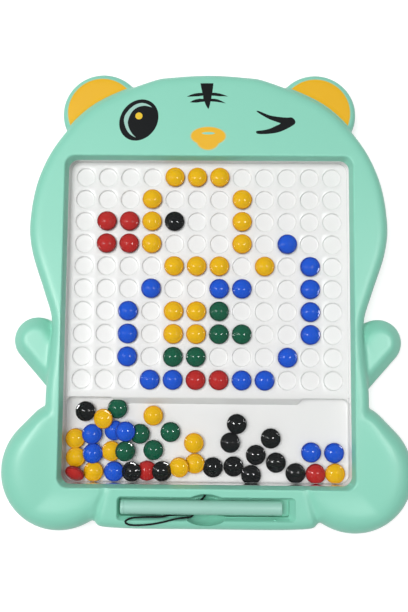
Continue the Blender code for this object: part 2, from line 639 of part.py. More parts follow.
def bead(name, x, y, z, finish=None):
    """One lens-shaped bead: a domed top and bottom that meet in a thin rim."""
    bm = bmesh.new()
    loops = []
    for height, radius in ((-BEAD_SHOULDER_HEIGHT, BEAD_SHOULDER_RADIUS), (0.0, BEAD_RADIUS),
                           (BEAD_SHOULDER_HEIGHT, BEAD_SHOULDER_RADIUS)):
        loops.append([bm.verts.new((px * MM, py * MM, (z + height) * MM))
                      for px, py in circle(x, y, radius, BEAD_SIDES)])
    for lower, upper in zip(loops, loops[1:]):
        for i in range(BEAD_SIDES):
            j = (i + 1) % BEAD_SIDES
            bm.faces.new((lower[i], lower[j], upper[j], upper[i]))
    bottom = bm.verts.new((x * MM, y * MM, (z - BEAD_HALF_HEIGHT) * MM))
    top = bm.verts.new((x * MM, y * MM, (z + BEAD_HALF_HEIGHT) * MM))
    for i in range(BEAD_SIDES):
        j = (i + 1) % BEAD_SIDES
        bm.faces.new((loops[0][j], loops[0][i], bottom))
        bm.faces.new((loops[2][i], loops[2][j], top))
    return finish_mesh(bm, name, finish)


def make_plate_beads():
    """The picture: one bead in each of its dimples."""
    height = PLATE_Z - DIMPLE_DEPTH + BEAD_HALF_HEIGHT + FIT_GAP
    for colour, cells in PICTURE_SHARES.items():
        finish = material(colour + "_bead", COLOURS[colour], 0.2)
        for row, column in cells:
            x, y = plate_place(row, column)
            bead(f"{colour}_bead_row{row:02d}_col{column:02d}", x, y, height, finish)


def make_heap(name, shares, side, colour):
    """Touching beads on the pocket's floor; side is -1 from the left wall, 1 from the right."""
    floor_z = POCKET_Z + BEAD_HALF_HEIGHT + FIT_GAP
    bottom_y = WINDOW_Y - TRAY_HALF_Y
    places = [(side * (TRAY_HALF_X - across * BEAD_RADIUS), bottom_y + up * BEAD_RADIUS)
              for across, up in shares]
    heap = bead(name, *places[0], floor_z, material(name, COLOURS[colour], 0.2))
    others = [bead(name + "_" + str(number), *place, floor_z)
              for number, place in enumerate(places[1:], 2)]
    boolean(heap, "UNION", *others)


def turned_along_x(name, profile, finish):
    """A turned piece on the pen's axis; the profile runs left to right as (x, radius)."""
    bm = bmesh.new()
    points = [bm.verts.new((radius * MM, 0, -x * MM)) for x, radius in profile]
    edges = [bm.edges.new(pair) for pair in zip(points, points[1:])]
    bmesh.ops.spin(bm, geom=points + edges, cent=(0, 0, 0), axis=(0, 0, 1), angle=2 * math.pi,
                   steps=PEN_SIDES, use_merge=True)
    bmesh.ops.remove_doubles(bm, verts=bm.verts[:], dist=MERGE_DISTANCE * MM)
    bmesh.ops.rotate(bm, verts=bm.verts[:], matrix=Matrix.Rotation(-math.pi / 2, 3, "Y"))
    bmesh.ops.translate(bm, verts=bm.verts[:], vec=(0, PEN_Y * MM, PEN_Z * MM))
    return finish_mesh(bm, name, finish, math.radians(40))


def make_pen():
    pale = material("pen_mint", PALE_MINT, 0.38)
    magnet_pocket = PEN_RIGHT_X - MAGNET_THICKNESS - 2 * FIT_GAP
    barrel_left = PEN_LEFT_X + PLUG_CAP_LENGTH
    plug_pocket = barrel_left + PLUG_STEM_LENGTH + FIT_GAP
    barrel = turned_along_x("pen_barrel", [
        (plug_pocket, 0.0), (plug_pocket, PLUG_STEM_RADIUS + FIT_GAP),
        (barrel_left, PLUG_STEM_RADIUS + FIT_GAP), (barrel_left, PEN_RADIUS),
        (PEN_RIGHT_X - PEN_CHAMFER, PEN_RADIUS), (PEN_RIGHT_X, PEN_RADIUS - PEN_CHAMFER),
        (PEN_RIGHT_X, MAGNET_RADIUS + FIT_GAP), (magnet_pocket, MAGNET_RADIUS + FIT_GAP),
        (magnet_pocket, 0.0)], pale)
    hole_y = PEN_Y - PEN_HOLE_OFF_AXIS
    half_width = CORD_DIAMETER / 2 + FIT_GAP
    bottom = PEN_Z - PEN_RADIUS
    boolean(barrel, "DIFFERENCE", loft("pen_hole_cutter", [
        (rounded_box(PEN_HOLE_X, hole_y, PEN_HOLE_HALF_LENGTH, half_width, half_width * ROUND_END_SHARE),
         height) for height in (bottom - OVERRUN, bottom + PEN_HOLE_DEPTH)]))
    turned_along_x("pen_magnet", [
        (magnet_pocket + FIT_GAP, 0.0), (magnet_pocket + FIT_GAP, MAGNET_RADIUS),
        (magnet_pocket + FIT_GAP + MAGNET_THICKNESS, MAGNET_RADIUS),
        (magnet_pocket + FIT_GAP + MAGNET_THICKNESS, 0.0)], material("magnet", (0.09, 0.09, 0.1), 0.4, 0.8))
    cap_right = barrel_left - FIT_GAP
    turned_along_x("pen_tail_plug", [
        (PEN_LEFT_X, 0.0), (PEN_LEFT_X, PEN_RADIUS - PEN_CHAMFER),
        (PEN_LEFT_X + PEN_CHAMFER, PEN_RADIUS), (cap_right, PEN_RADIUS), (cap_right, PLUG_STEM_RADIUS),
        (cap_right + PLUG_STEM_LENGTH, PLUG_STEM_RADIUS), (cap_right + PLUG_STEM_LENGTH, 0.0)], pale)


def cord_points():
    """Reads the tether's points from a smooth curve through its route."""
    route = [Vector((x, PEN_Y + y, PEN_Z + z)) for x, y, z in CORD_ROUTE]
    ends = [2 * route[0] - route[1]] + route + [2 * route[-1] - route[-2]]
    curve = []
    for i in range(len(route) - 1):
        p0, p1, p2, p3 = ends[i:i + 4]
        steps = max(1, round((p2 - p1).length / (CORD_STEP_SHARE * CORD_DIAMETER)))
        for s in range(steps):
            t = s / steps
            curve.append(0.5 * (2 * p1 + (p2 - p0) * t + (2 * p0 - 5 * p1 + 4 * p2 - p3) * t * t
                                + (3 * p1 - p0 - 3 * p2 + p3) * t ** 3))
    curve.append(route[-1])
    return curve


def make_tether():
    black = material("tether_black", (0.01, 0.012, 0.012), 0.6)
    points = cord_points()
    curve = bpy.data.curves.new("tether_cord", "CURVE")
    curve.dimensions = "3D"
    curve.bevel_depth = CORD_DIAMETER / 2 * MM
    curve.bevel_resolution = 2
    curve.use_fill_caps = True
    path = curve.splines.new("POLY")
    path.points.add(len(points[1:]))
    for place, point in zip(path.points, points):
        place.co = (*(point * MM), 1.0)
    curve.materials.append(black)
    cord = bpy.data.objects.new("tether_cord", curve)
    PARTS.objects.link(cord)


make_front_shell()
make_back_cover()
make_screws()
make_clear_window()
make_bead_tray()
make_plate_beads()
make_heap("bead_heap", HEAP_SHARES, -1, "yellow")
make_heap("corner_bead_heap", CORNER_HEAP_SHARES, 1, "blue")
make_heap("black_bead_pair", BEAD_PAIR_SHARES, -1, "black")
make_pen()
make_tether()
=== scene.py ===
import math

import bmesh
import bpy
from mathutils import Matrix, Vector


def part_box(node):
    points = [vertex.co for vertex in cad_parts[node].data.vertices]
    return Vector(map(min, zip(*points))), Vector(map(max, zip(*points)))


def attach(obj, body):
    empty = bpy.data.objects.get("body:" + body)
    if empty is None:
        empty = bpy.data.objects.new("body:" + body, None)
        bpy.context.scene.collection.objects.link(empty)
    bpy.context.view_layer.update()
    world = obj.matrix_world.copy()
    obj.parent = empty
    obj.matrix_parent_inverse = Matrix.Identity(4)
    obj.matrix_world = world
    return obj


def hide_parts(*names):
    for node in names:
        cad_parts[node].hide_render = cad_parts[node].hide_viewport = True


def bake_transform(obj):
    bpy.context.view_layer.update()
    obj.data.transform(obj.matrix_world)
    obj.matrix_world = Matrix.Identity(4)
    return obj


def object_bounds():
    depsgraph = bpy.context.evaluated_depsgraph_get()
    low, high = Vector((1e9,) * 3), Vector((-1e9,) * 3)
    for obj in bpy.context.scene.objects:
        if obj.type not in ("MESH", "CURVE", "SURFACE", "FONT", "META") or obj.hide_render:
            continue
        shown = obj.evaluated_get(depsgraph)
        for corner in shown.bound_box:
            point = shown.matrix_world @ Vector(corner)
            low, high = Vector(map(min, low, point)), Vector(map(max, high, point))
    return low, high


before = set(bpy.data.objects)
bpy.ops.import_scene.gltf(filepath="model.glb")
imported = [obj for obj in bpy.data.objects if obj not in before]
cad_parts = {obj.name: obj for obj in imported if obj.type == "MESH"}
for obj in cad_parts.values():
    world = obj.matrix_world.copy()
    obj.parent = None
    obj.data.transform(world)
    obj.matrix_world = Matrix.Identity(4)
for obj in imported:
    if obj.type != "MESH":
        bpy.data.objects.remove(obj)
cad_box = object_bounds()
bpy.ops.object.select_all(action="DESELECT")

# Camera. It hangs almost straight above the board, a little below the middle of the
# window, and is tipped about five degrees towards the ears.
mm = 0.001
CAMERA_PLACE = (2.7, -49.5, 509.75)
CAMERA_TURN = (5.016, 0.577, 0.479)
SENSOR_WIDTH = 36
FOCAL_LENGTH = 40.2
camera_data = bpy.data.cameras.new("overhead_camera")
camera_data.sensor_width = SENSOR_WIDTH
camera_data.lens = FOCAL_LENGTH
camera = bpy.data.objects.new("overhead_camera", camera_data)
camera.location = [value * mm for value in CAMERA_PLACE]
camera.rotation_euler = [math.radians(turn) for turn in CAMERA_TURN]
bpy.context.scene.collection.objects.link(camera)
bpy.context.scene.camera = camera

# Room. A pale world and one large soft lamp, high on the left, light the board, with a weak low
# one beside it. Two small ceiling lamps give only reflections, such as the pair of sparks on
# every bead, and a long one gives only the broad sheen on the casing.
WORLD_STRENGTH = 0.30
SHEEN_LENGTH = 0.34
bpy.context.scene.view_settings.view_transform = "Standard"
world = bpy.data.worlds.new("pale_room")
world.use_nodes = True
world.node_tree.nodes["Background"].inputs["Color"].default_value = (1.0, 1.0, 1.0, 1.0)
world.node_tree.nodes["Background"].inputs["Strength"].default_value = WORLD_STRENGTH
bpy.context.scene.world = world


def room_lamp(name, place, size, watts):
    """A round lamp that faces the middle of the board; place and size are in metres."""
    lamp = bpy.data.lights.new(name, "AREA")
    lamp.shape = "DISK"
    lamp.size = size
    lamp.energy = watts
    holder = bpy.data.objects.new(name, lamp)
    holder.location = place
    holder.rotation_euler = (-Vector(place)).to_track_quat("-Z", "Y").to_euler()
    bpy.context.scene.collection.objects.link(holder)
    return holder


left_window = room_lamp("left_window", place=(-0.85, 0.15, 0.75), size=0.5, watts=0.8)
overhead = room_lamp("overhead", place=(-0.66, 0.24, 2.8), size=2.0, watts=62.0)
left_spark = room_lamp("lamp_one", place=(-0.62, 0.02, 1.1), size=0.24, watts=8.5)
right_spark = room_lamp("lamp_two", place=(0.60, 0.02, 1.1), size=0.24, watts=6.5)
sheen = room_lamp("ceiling_sheen", place=(0.10, 0.16, 1.5), size=1.6, watts=7.0)
sheen.data.shape = "RECTANGLE"
sheen.data.size_y = SHEEN_LENGTH
overhead.visible_glossy = False
for gloss_lamp in (left_spark, right_spark, sheen):
    gloss_lamp.visible_diffuse = False

# Table. A white sheet under the board: it shows white to the camera and in reflections,
# and still takes the board's soft shadow.
TABLE_DROP = 0.3
TABLE_WIDTH = 4.0
TABLE_TONE = (0.55, 0.55, 0.55, 1.0)
TABLE_GLOW = 0.60


def maths(tree, operation, first, second, clamp=False):
    """A Math node whose inputs are plain numbers or other nodes' sockets; gives its output."""
    step = tree.nodes.new("ShaderNodeMath")
    step.operation = operation
    step.use_clamp = clamp
    for socket, value in zip(step.inputs, (first, second)):
        if isinstance(value, float):
            socket.default_value = value
        else:
            tree.links.new(value, socket)
    return step.outputs[0]


bpy.ops.mesh.primitive_plane_add(size=TABLE_WIDTH, location=(0.0, 0.0, -TABLE_DROP * mm))
table = bpy.context.object
table.name = "white_table"
table_finish = bpy.data.materials.new("white_table")
table_finish.use_nodes = True
table_tree = table_finish.node_tree
table_shader = table_tree.nodes["Principled BSDF"]
table_shader.inputs["Base Color"].default_value = TABLE_TONE
table_shader.inputs["Roughness"].default_value = 0.9
table_shader.inputs["Emission Color"].default_value = (1.0, 1.0, 1.0, 1.0)
table_ray = table_tree.nodes.new("ShaderNodeLightPath").outputs
table_seen = maths(table_tree, "MAXIMUM", table_ray["Is Camera Ray"], table_ray["Is Glossy Ray"])
table_glow = maths(table_tree, "MULTIPLY", table_seen, TABLE_GLOW)
table_tree.links.new(table_glow, table_shader.inputs["Emission Strength"])
table.data.materials.append(table_finish)

# Casing. One hollow front moulding of mint plastic in seven lobes: head and body, ears, arms and
# feet, whose rolled edges flow into each other in soft creases. The window well, the pen slot
# with its nubs, the finger scoop and, underneath, a seat for the back cover are sunk into it.
FACE_Z = 24.5
HEAD_HALF_WIDTH = 130.4
HALF_LENGTH = 167.0
BODY_OUTLINE_SHARES = (
    (0.0, 0.992), (0.184, 0.984), (0.337, 0.963), (0.644, 0.856), (0.844, 0.698),
    (0.958, 0.523), (1.0, 0.335), (0.984, 0.195), (0.910, 0.020), (0.863, -0.105),
    (0.867, -0.254), (0.887, -0.422), (0.874, -0.590), (0.817, -0.746), (0.721, -0.871),
    (0.617, -0.949), (0.514, -0.979), (0.0, -0.982))
# Round ends of the lobes, each centre x, centre y and radius on the right side.
EAR = (78.7, 136.9, 30.1)
ARM = (124.8, -31.5, 16.8)
ARM_ROOT = (106.0, -58.5, 13.0)
FOOT = (104.8, -124.6, 42.4)
FOOT_SHOULDER = (108.7, -98.7, 21.5)
# Top height, width of the rolled edge, and how full the roll is.
HEAD_ROLL = (FACE_Z, 7.8, 0.5)
EAR_ROLL = (19.3, 5.0, 0.5)
ARM_ROLL = (18.0, 8.5, 0.29)
FOOT_ROLL = (26.5, 17.3, 0.56)
ROLL_STEPS = 10
LOBE_START_Z = -6
FUSING_STEP = 1.4
WALL = 2.2
WINDOW_Y = -16.2
WINDOW_HALF = (104.4, 118.7)
WINDOW_CORNER = 7.0
WELL_FLOOR_Z = 19.3
WELL_DRAFT = 1.8
WELL_LIP = 1.2
CHAMBER_HALF = (107.0, 121.3)
CHAMBER_CORNER = 9.0
CHAMBER_TOP_Z = 19.0
BACK_SEAT_Z = 2.35


def only(piece):
    """Makes this the one selected and active object."""
    bpy.ops.object.select_all(action="DESELECT")
    piece.select_set(True)
    bpy.context.view_layer.objects.active = piece


def apply_all(piece):
    """Applies the piece's modifiers from the first to the last."""
    only(piece)
    for modifier in list(piece.modifiers):
        bpy.ops.object.modifier_apply(modifier=modifier.name)


def joined(first, *others):
    """The first object with the meshes of the others in it."""
    only(first)
    for other in others:
        other.select_set(True)
    bpy.ops.object.join()
    return first


def object_from(bm, name):
    mesh = bpy.data.meshes.new(name)
    bmesh.ops.recalc_face_normals(bm, faces=bm.faces[:])
    bm.to_mesh(mesh)
    bm.free()
    made = bpy.data.objects.new(name, mesh)
    bpy.context.scene.collection.objects.link(made)
    return made


def lofted(name, rings):
    """A closed solid through rings of equal count, lowest first, each (outline, height) in mm."""
    bm = bmesh.new()
    loops = [[bm.verts.new((x * mm, y * mm, height * mm)) for x, y in outline]
             for outline, height in rings]
    for lower, upper in zip(loops, loops[1:]):
        for i in range(len(lower)):
            j = (i + 1) % len(lower)
            bm.faces.new((lower[i], lower[j], upper[j], upper[i]))
    bm.faces.new(loops[0][::-1])
    bm.faces.new(loops[-1])
    return object_from(bm, name)


def carve(piece, operation, tool):
    """Cuts the tool out of the piece, or adds it on, and removes the tool."""
    change = piece.modifiers.new(operation.lower(), "BOOLEAN")
    change.operation = operation
    change.solver = "EXACT"
    change.object = tool
    apply_all(piece)
    bpy.data.objects.remove(tool, do_unlink=True)


def between(p0, p1, p2, p3, t):
    """The place a share t of the way from p1 to p2 on a smooth curve through four points."""
    return 0.5 * (2 * p1 + (p2 - p0) * t + (2 * p0 - 5 * p1 + 4 * p2 - p3) * t * t
                  + (3 * p1 - p0 - 3 * p2 + p3) * t ** 3)


def smooth_closed(points, steps):
    """A closed outline through the points, each side in as many steps."""
    curve = []
    for i in range(len(points)):
        near = [Vector(points[(i + k - 1) % len(points)]) for k in range(4)]
        curve += [tuple(between(*near, s / steps)) for s in range(steps)]
    return curve


def round_outline(centre_x, centre_y, radius, sides=96):
    return [(centre_x + radius * math.cos(2 * math.pi * i / sides),
             centre_y + radius * math.sin(2 * math.pi * i / sides)) for i in range(sides)]


def stadium(first, second, side, sides=96):
    """Outline round two circles, each (x, y, radius), on the right (1) or the left (-1)."""
    x1, y1, r1 = first
    x2, y2, r2 = second
    along = math.atan2(y2 - y1, x2 - x1)
    half = math.acos((r1 - r2) / math.hypot(x2 - x1, y2 - y1))
    big_steps = round(sides * (math.pi - half) / math.pi)
    points = []
    for i in range(big_steps + 1):
        angle = along + half + (2 * math.pi - 2 * half) * i / big_steps
        points.append((side * (x1 + r1 * math.cos(angle)), y1 + r1 * math.sin(angle)))
    for i in range(sides - big_steps + 1):
        angle = along - half + 2 * half * i / (sides - big_steps)
        points.append((side * (x2 + r2 * math.cos(angle)), y2 + r2 * math.sin(angle)))
    return points if side > 0 else points[::-1]


def box_outline(x, y, half_x, half_y, corner, steps=8):
    points = []
    for quadrant, (across, up) in enumerate(((1, 1), (-1, 1), (-1, -1), (1, -1))):
        for s in range(steps + 1):
            angle = (quadrant + s / steps) * math.pi / 2
            points.append((x + across * (half_x - corner) + corner * math.cos(angle),
                           y + up * (half_y - corner) + corner * math.sin(angle)))
    return points


def window_outline(growth, corner_growth=0.0):
    return box_outline(0, WINDOW_Y, WINDOW_HALF[0] + growth, WINDOW_HALF[1] + growth,
                       WINDOW_CORNER + corner_growth)


def rolled_lobe(name, outline, top, roll_width, fullness):
    """An upright block over an outline, extruded to its height, with its top edge rolled over."""
    mesh = bpy.data.meshes.new(name)
    mesh.from_pydata([(x * mm, y * mm, LOBE_START_Z * mm) for x, y in outline], [],
                     [range(len(outline))])
    lobe = bpy.data.objects.new(name, mesh)
    bpy.context.scene.collection.objects.link(lobe)
    only(lobe)
    bpy.ops.object.mode_set(mode="EDIT")
    bpy.ops.mesh.select_all(action="SELECT")
    bpy.ops.mesh.extrude_region_move(
        TRANSFORM_OT_translate={"value": (0, 0, (top - LOBE_START_Z) * mm)})
    bpy.ops.mesh.select_all(action="SELECT")
    bpy.ops.mesh.normals_make_consistent(inside=False)
    bpy.ops.object.mode_set(mode="OBJECT")
    weights = mesh.attributes.new("bevel_weight_edge", "FLOAT", "EDGE")
    for edge in mesh.edges:
        if all(mesh.vertices[v].co.z > (top - 1) * mm for v in edge.vertices):
            weights.data[edge.index].value = 1.0
    roll = lobe.modifiers.new("rolled_edge", "BEVEL")
    roll.width = roll_width * mm
    roll.segments = ROLL_STEPS
    roll.profile = fullness
    roll.limit_method = "WEIGHT"
    roll.use_clamp_overlap = False
    apply_all(lobe)
    return lobe


body_half = [(x * HEAD_HALF_WIDTH, y * HALF_LENGTH) for x, y in BODY_OUTLINE_SHARES]
body_outline = smooth_closed((body_half + [(-x, y) for x, y in body_half[-2:0:-1]])[::-1], 6)
lobe_outlines = [body_outline]
lobes = [rolled_lobe("front_casing", body_outline, *HEAD_ROLL)]
for side in (1, -1):
    for name, outline, roll in (("ear", round_outline(side * EAR[0], EAR[1], EAR[2]), EAR_ROLL),
                                ("arm", stadium(ARM, ARM_ROOT, side), ARM_ROLL),
                                ("foot", stadium(FOOT, FOOT_SHOULDER, side), FOOT_ROLL)):
        lobes.append(rolled_lobe(name, outline, *roll))
        lobe_outlines.append(outline)
casing = joined(*lobes)
fuse = casing.modifiers.new("fused_lobes", "REMESH")
fuse.mode = "VOXEL"
fuse.voxel_size = FUSING_STEP * mm
apply_all(casing)

# The creases between the bar and the feet: start, end, half width, depth. Where the feet rise
# past the face they come down to its level towards the window.
CREASES = (((79.5, -163.0), (71.0, -134.5), 3.0, 3.4), ((71.0, -134.5), (69.0, -128.0), 2.4, 1.4))
CREASE_FADE = 0.75
CREASE_LOWEST_Z = 12
FLAT_BORDER = 1.5
RISE_LENGTH = 24
for v in casing.data.vertices:
    place = Vector((abs(v.co.x), v.co.y)) / mm
    for start, end, half_width, depth in CREASES:
        start, end = Vector(start), Vector(end)
        along = min(max((place - start).dot(end - start) / (end - start).length_squared, 0.0), 1.0)
        off = (place - start - (end - start) * along).length / half_width
        if off < 1 and v.co.z > CREASE_LOWEST_Z * mm:
            v.co.z -= depth * (1 - CREASE_FADE * along) * (1 - off * off) ** 2 * mm
    from_window = max(place.x - WINDOW_HALF[0], abs(place.y - WINDOW_Y) - WINDOW_HALF[1])
    rise = min(max((from_window - FLAT_BORDER) / RISE_LENGTH, 0.0), 1.0)
    if v.co.z > FACE_Z * mm:
        v.co.z = FACE_Z * mm + (v.co.z - FACE_Z * mm) * rise * rise * (3 - 2 * rise)
ease = casing.modifiers.new("soft_creases", "SMOOTH")
ease.factor = 0.5
ease.iterations = 7
apply_all(casing)
bpy.ops.object.mode_set(mode="EDIT")
bpy.ops.mesh.select_all(action="SELECT")
bpy.ops.mesh.bisect(plane_co=(0, 0, 0), plane_no=(0, 0, 1), use_fill=True, clear_inner=True)
bpy.ops.object.mode_set(mode="OBJECT")

lip_rings = [(window_outline(WELL_LIP * (1 - math.cos(turn))),
              FACE_Z - WELL_LIP + WELL_LIP * math.sin(turn)) for turn in (0.0, 0.4, 0.8, 1.2)]
well = lofted("well_cutter", [
    (window_outline(-WELL_DRAFT), WELL_FLOOR_Z - 2), (window_outline(-WELL_DRAFT), WELL_FLOOR_Z),
    *lip_rings, (window_outline(WELL_LIP + 0.5), FACE_Z + 0.3),
    (window_outline(WELL_LIP + 0.5), FACE_Z + 6)])
chamber = lofted("chamber_cutter", [(box_outline(0, WINDOW_Y, *CHAMBER_HALF, CHAMBER_CORNER), height)
                                    for height in (-2, CHAMBER_TOP_Z)])
carve(well, "UNION", chamber)


def drawn_in(outline, distance):
    """A closed outline moved inwards by a wall's thickness."""
    points = [Vector(point) for point in outline]
    turn = sum(a.x * b.y - b.x * a.y for a, b in zip(points, points[1:] + points[:1]))
    inwards = math.copysign(distance, turn)
    moved = []
    for i, point in enumerate(points):
        along = (points[(i + 1) % len(points)] - points[i - 1]).normalized()
        moved.append((point.x - along.y * inwards, point.y + along.x * inwards))
    return moved


# The seat for the back cover: one block for each lobe, no two of them of one height.
for count, outline in enumerate(lobe_outlines):
    inner = drawn_in(outline, WALL)
    carve(well, "UNION", lofted("back_seat_cutter", [(inner, -2.5 - 0.1 * count),
                                                     (inner, BACK_SEAT_Z + 0.01 * count)]))

# The slot from the floor of its channel up to its rolled mouth: left, right, low and top edge,
# corner and height. The scoop's rings: depth, share of its size, and flare towards the face.
SLOT_RINGS = (
    (-61.2, 58.5, -154.8, -142.3, 1.9, 14.7), (-61.2, 58.5, -154.8, -142.3, 1.9, 19.3),
    (-61.35, 59.1, -155.3, -142.0, 2.1, 19.7), (-61.9, 61.9, -156.8, -141.0, 2.6, FACE_Z - 0.7),
    (-62.6, 62.6, -157.5, -140.3, 3.2, FACE_Z + 0.1), (-62.6, 62.6, -157.5, -140.3, 3.2, FACE_Z + 0.8))
SCOOP_Y = -149.6
SCOOP_HALF = (17.0, 10.9)
SCOOP_DEPTH = 13.5
SCOOP_TURNS = (1.35, 1.15, 0.95, 0.75, 0.55, 0.38, 0.24, 0.12)
SCOOP_MOUTH_RINGS = (
    (0.8, 1.0, 0.0), (0.45, 1.0, 0.15), (0.15, 1.0, 0.5), (0.0, 1.0, 0.9), (-0.6, 1.0, 1.7))
SLOT_NUBS = ((-24.7, -141.0), (30.6, -141.0), (-50.4, -156.6), (-21.3, -156.6), (48.0, -156.6))
NUB_RINGS = ((1.25, 18.6), (1.15, 22.0), (0.75, 22.7))
slot = lofted("slot_cutter", [
    (box_outline((left + right) / 2, (top + low) / 2, (right - left) / 2, (top - low) / 2, corner), height)
    for left, right, low, top, corner, height in SLOT_RINGS])
scoop_rings = [(SCOOP_DEPTH * math.sin(turn), math.cos(turn), 0.0) for turn in SCOOP_TURNS]
scoop = lofted("scoop_cutter", [
    ([(x * (SCOOP_HALF[0] * share + flare), SCOOP_Y + y * (SCOOP_HALF[1] * share + flare))
      for x, y in round_outline(0, 0, 1.0, 80)], FACE_Z - depth)
    for depth, share, flare in (*scoop_rings, *SCOOP_MOUTH_RINGS)])
carve(slot, "UNION", scoop)
carve(casing, "DIFFERENCE", joined(well, slot))
carve(casing, "UNION", joined(*[
    lofted("nub", [(round_outline(x, y, radius, 16), height) for radius, height in NUB_RINGS])
    for x, y in SLOT_NUBS]))
only(casing)
bpy.ops.object.shade_smooth_by_angle(angle=math.radians(32))


def moulding_marks():
    """Shared by every plastic: a fine grain as a height, and slow clouding of the tone."""
    group = bpy.data.node_groups.new("moulding_marks", "ShaderNodeTree")
    face = group.interface
    face.new_socket("Grain Scale", in_out="INPUT", socket_type="NodeSocketFloat").default_value = 900.0
    face.new_socket("Cloud Scale", in_out="INPUT", socket_type="NodeSocketFloat").default_value = 14.0
    face.new_socket("Grain", in_out="OUTPUT", socket_type="NodeSocketFloat")
    face.new_socket("Cloud", in_out="OUTPUT", socket_type="NodeSocketFloat")
    entry = group.nodes.new("NodeGroupInput")
    leave = group.nodes.new("NodeGroupOutput")
    place = group.nodes.new("ShaderNodeTexCoord")
    grain = group.nodes.new("ShaderNodeTexNoise")
    grain.inputs["Detail"].default_value = 3.0
    cloud = group.nodes.new("ShaderNodeTexNoise")
    cloud.inputs["Detail"].default_value = 2.0
    for texture, scale, out in ((grain, "Grain Scale", "Grain"), (cloud, "Cloud Scale", "Cloud")):
        group.links.new(place.outputs["Object"], texture.inputs["Vector"])
        group.links.new(entry.outputs[scale], texture.inputs["Scale"])
        group.links.new(texture.outputs["Fac"], leave.inputs[out])
    return group


def sprayed_spot():
    """A soft-edged painted ellipse, from its centre and half sizes in metres."""
    group = bpy.data.node_groups.new("sprayed_spot", "ShaderNodeTree")
    face = group.interface
    for name in ("Place", "Centre", "Half Sizes"):
        face.new_socket(name, in_out="INPUT", socket_type="NodeSocketVector")
    face.new_socket("Edge", in_out="INPUT", socket_type="NodeSocketFloat").default_value = 0.05
    face.new_socket("Mask", in_out="OUTPUT", socket_type="NodeSocketFloat")
    entry = group.nodes.new("NodeGroupInput")
    leave = group.nodes.new("NodeGroupOutput")
    steps = []
    for operation in ("SUBTRACT", "DIVIDE", "MULTIPLY", "LENGTH"):
        step = group.nodes.new("ShaderNodeVectorMath")
        step.operation = operation
        if steps:
            group.links.new(steps[-1].outputs["Vector"], step.inputs[0])
        steps.append(step)
    steps[2].inputs[1].default_value = (1.0, 1.0, 0.0)
    group.links.new(entry.outputs["Place"], steps[0].inputs[0])
    group.links.new(entry.outputs["Centre"], steps[0].inputs[1])
    group.links.new(entry.outputs["Half Sizes"], steps[1].inputs[1])
    low = maths(group, "SUBTRACT", 1.0, entry.outputs["Edge"])
    high = maths(group, "ADD", 1.0, entry.outputs["Edge"])
    fade = group.nodes.new("ShaderNodeMapRange")
    fade.interpolation_type = "SMOOTHSTEP"
    fade.inputs["To Min"].default_value = 1.0
    fade.inputs["To Max"].default_value = 0.0
    group.links.new(steps[3].outputs["Value"], fade.inputs["Value"])
    group.links.new(low, fade.inputs["From Min"])
    group.links.new(high, fade.inputs["From Max"])
    group.links.new(fade.outputs["Result"], leave.inputs["Mask"])
    return group


MARKS = moulding_marks()
SPOT = sprayed_spot()
GLOSS_SPREAD = 0.15
GRAIN_HEIGHT = 0.1
COAT_ROUGHNESS = 0.05
SPRAY_FADE = 0.35


def plastic(name, colour, deep, roughness, grain_scale=900.0, cloud_scale=14.0, relief=0.06, coat=0.0,
            shine=0.4):
    """Moulded plastic between two tones of one colour, with grain in its gloss and its surface."""
    made = bpy.data.materials.new(name)
    made.use_nodes = True
    tree = made.node_tree
    shader = tree.nodes["Principled BSDF"]
    marks = tree.nodes.new("ShaderNodeGroup")
    marks.node_tree = MARKS
    marks.inputs["Grain Scale"].default_value = grain_scale
    marks.inputs["Cloud Scale"].default_value = cloud_scale
    tone = tree.nodes.new("ShaderNodeMix")
    tone.name = "tone"
    tone.data_type = "RGBA"
    tone.inputs[6].default_value = (*colour, 1.0)
    tone.inputs[7].default_value = (*deep, 1.0)
    tree.links.new(marks.outputs["Cloud"], tone.inputs["Factor"])
    tree.links.new(tone.outputs[2], shader.inputs["Base Color"])
    gloss = tree.nodes.new("ShaderNodeMapRange")
    gloss.inputs["To Min"].default_value = roughness * (1 - GLOSS_SPREAD)
    gloss.inputs["To Max"].default_value = roughness * (1 + GLOSS_SPREAD)
    tree.links.new(marks.outputs["Cloud"], gloss.inputs["Value"])
    tree.links.new(gloss.outputs["Result"], shader.inputs["Roughness"])
    bump = tree.nodes.new("ShaderNodeBump")
    bump.inputs["Strength"].default_value = relief
    bump.inputs["Distance"].default_value = GRAIN_HEIGHT * mm
    tree.links.new(marks.outputs["Grain"], bump.inputs["Height"])
    tree.links.new(bump.outputs["Normal"], shader.inputs["Normal"])
    shader.inputs["Specular IOR Level"].default_value = shine
    shader.inputs["Coat Weight"].default_value = coat
    shader.inputs["Coat Roughness"].default_value = COAT_ROUGHNESS
    return made


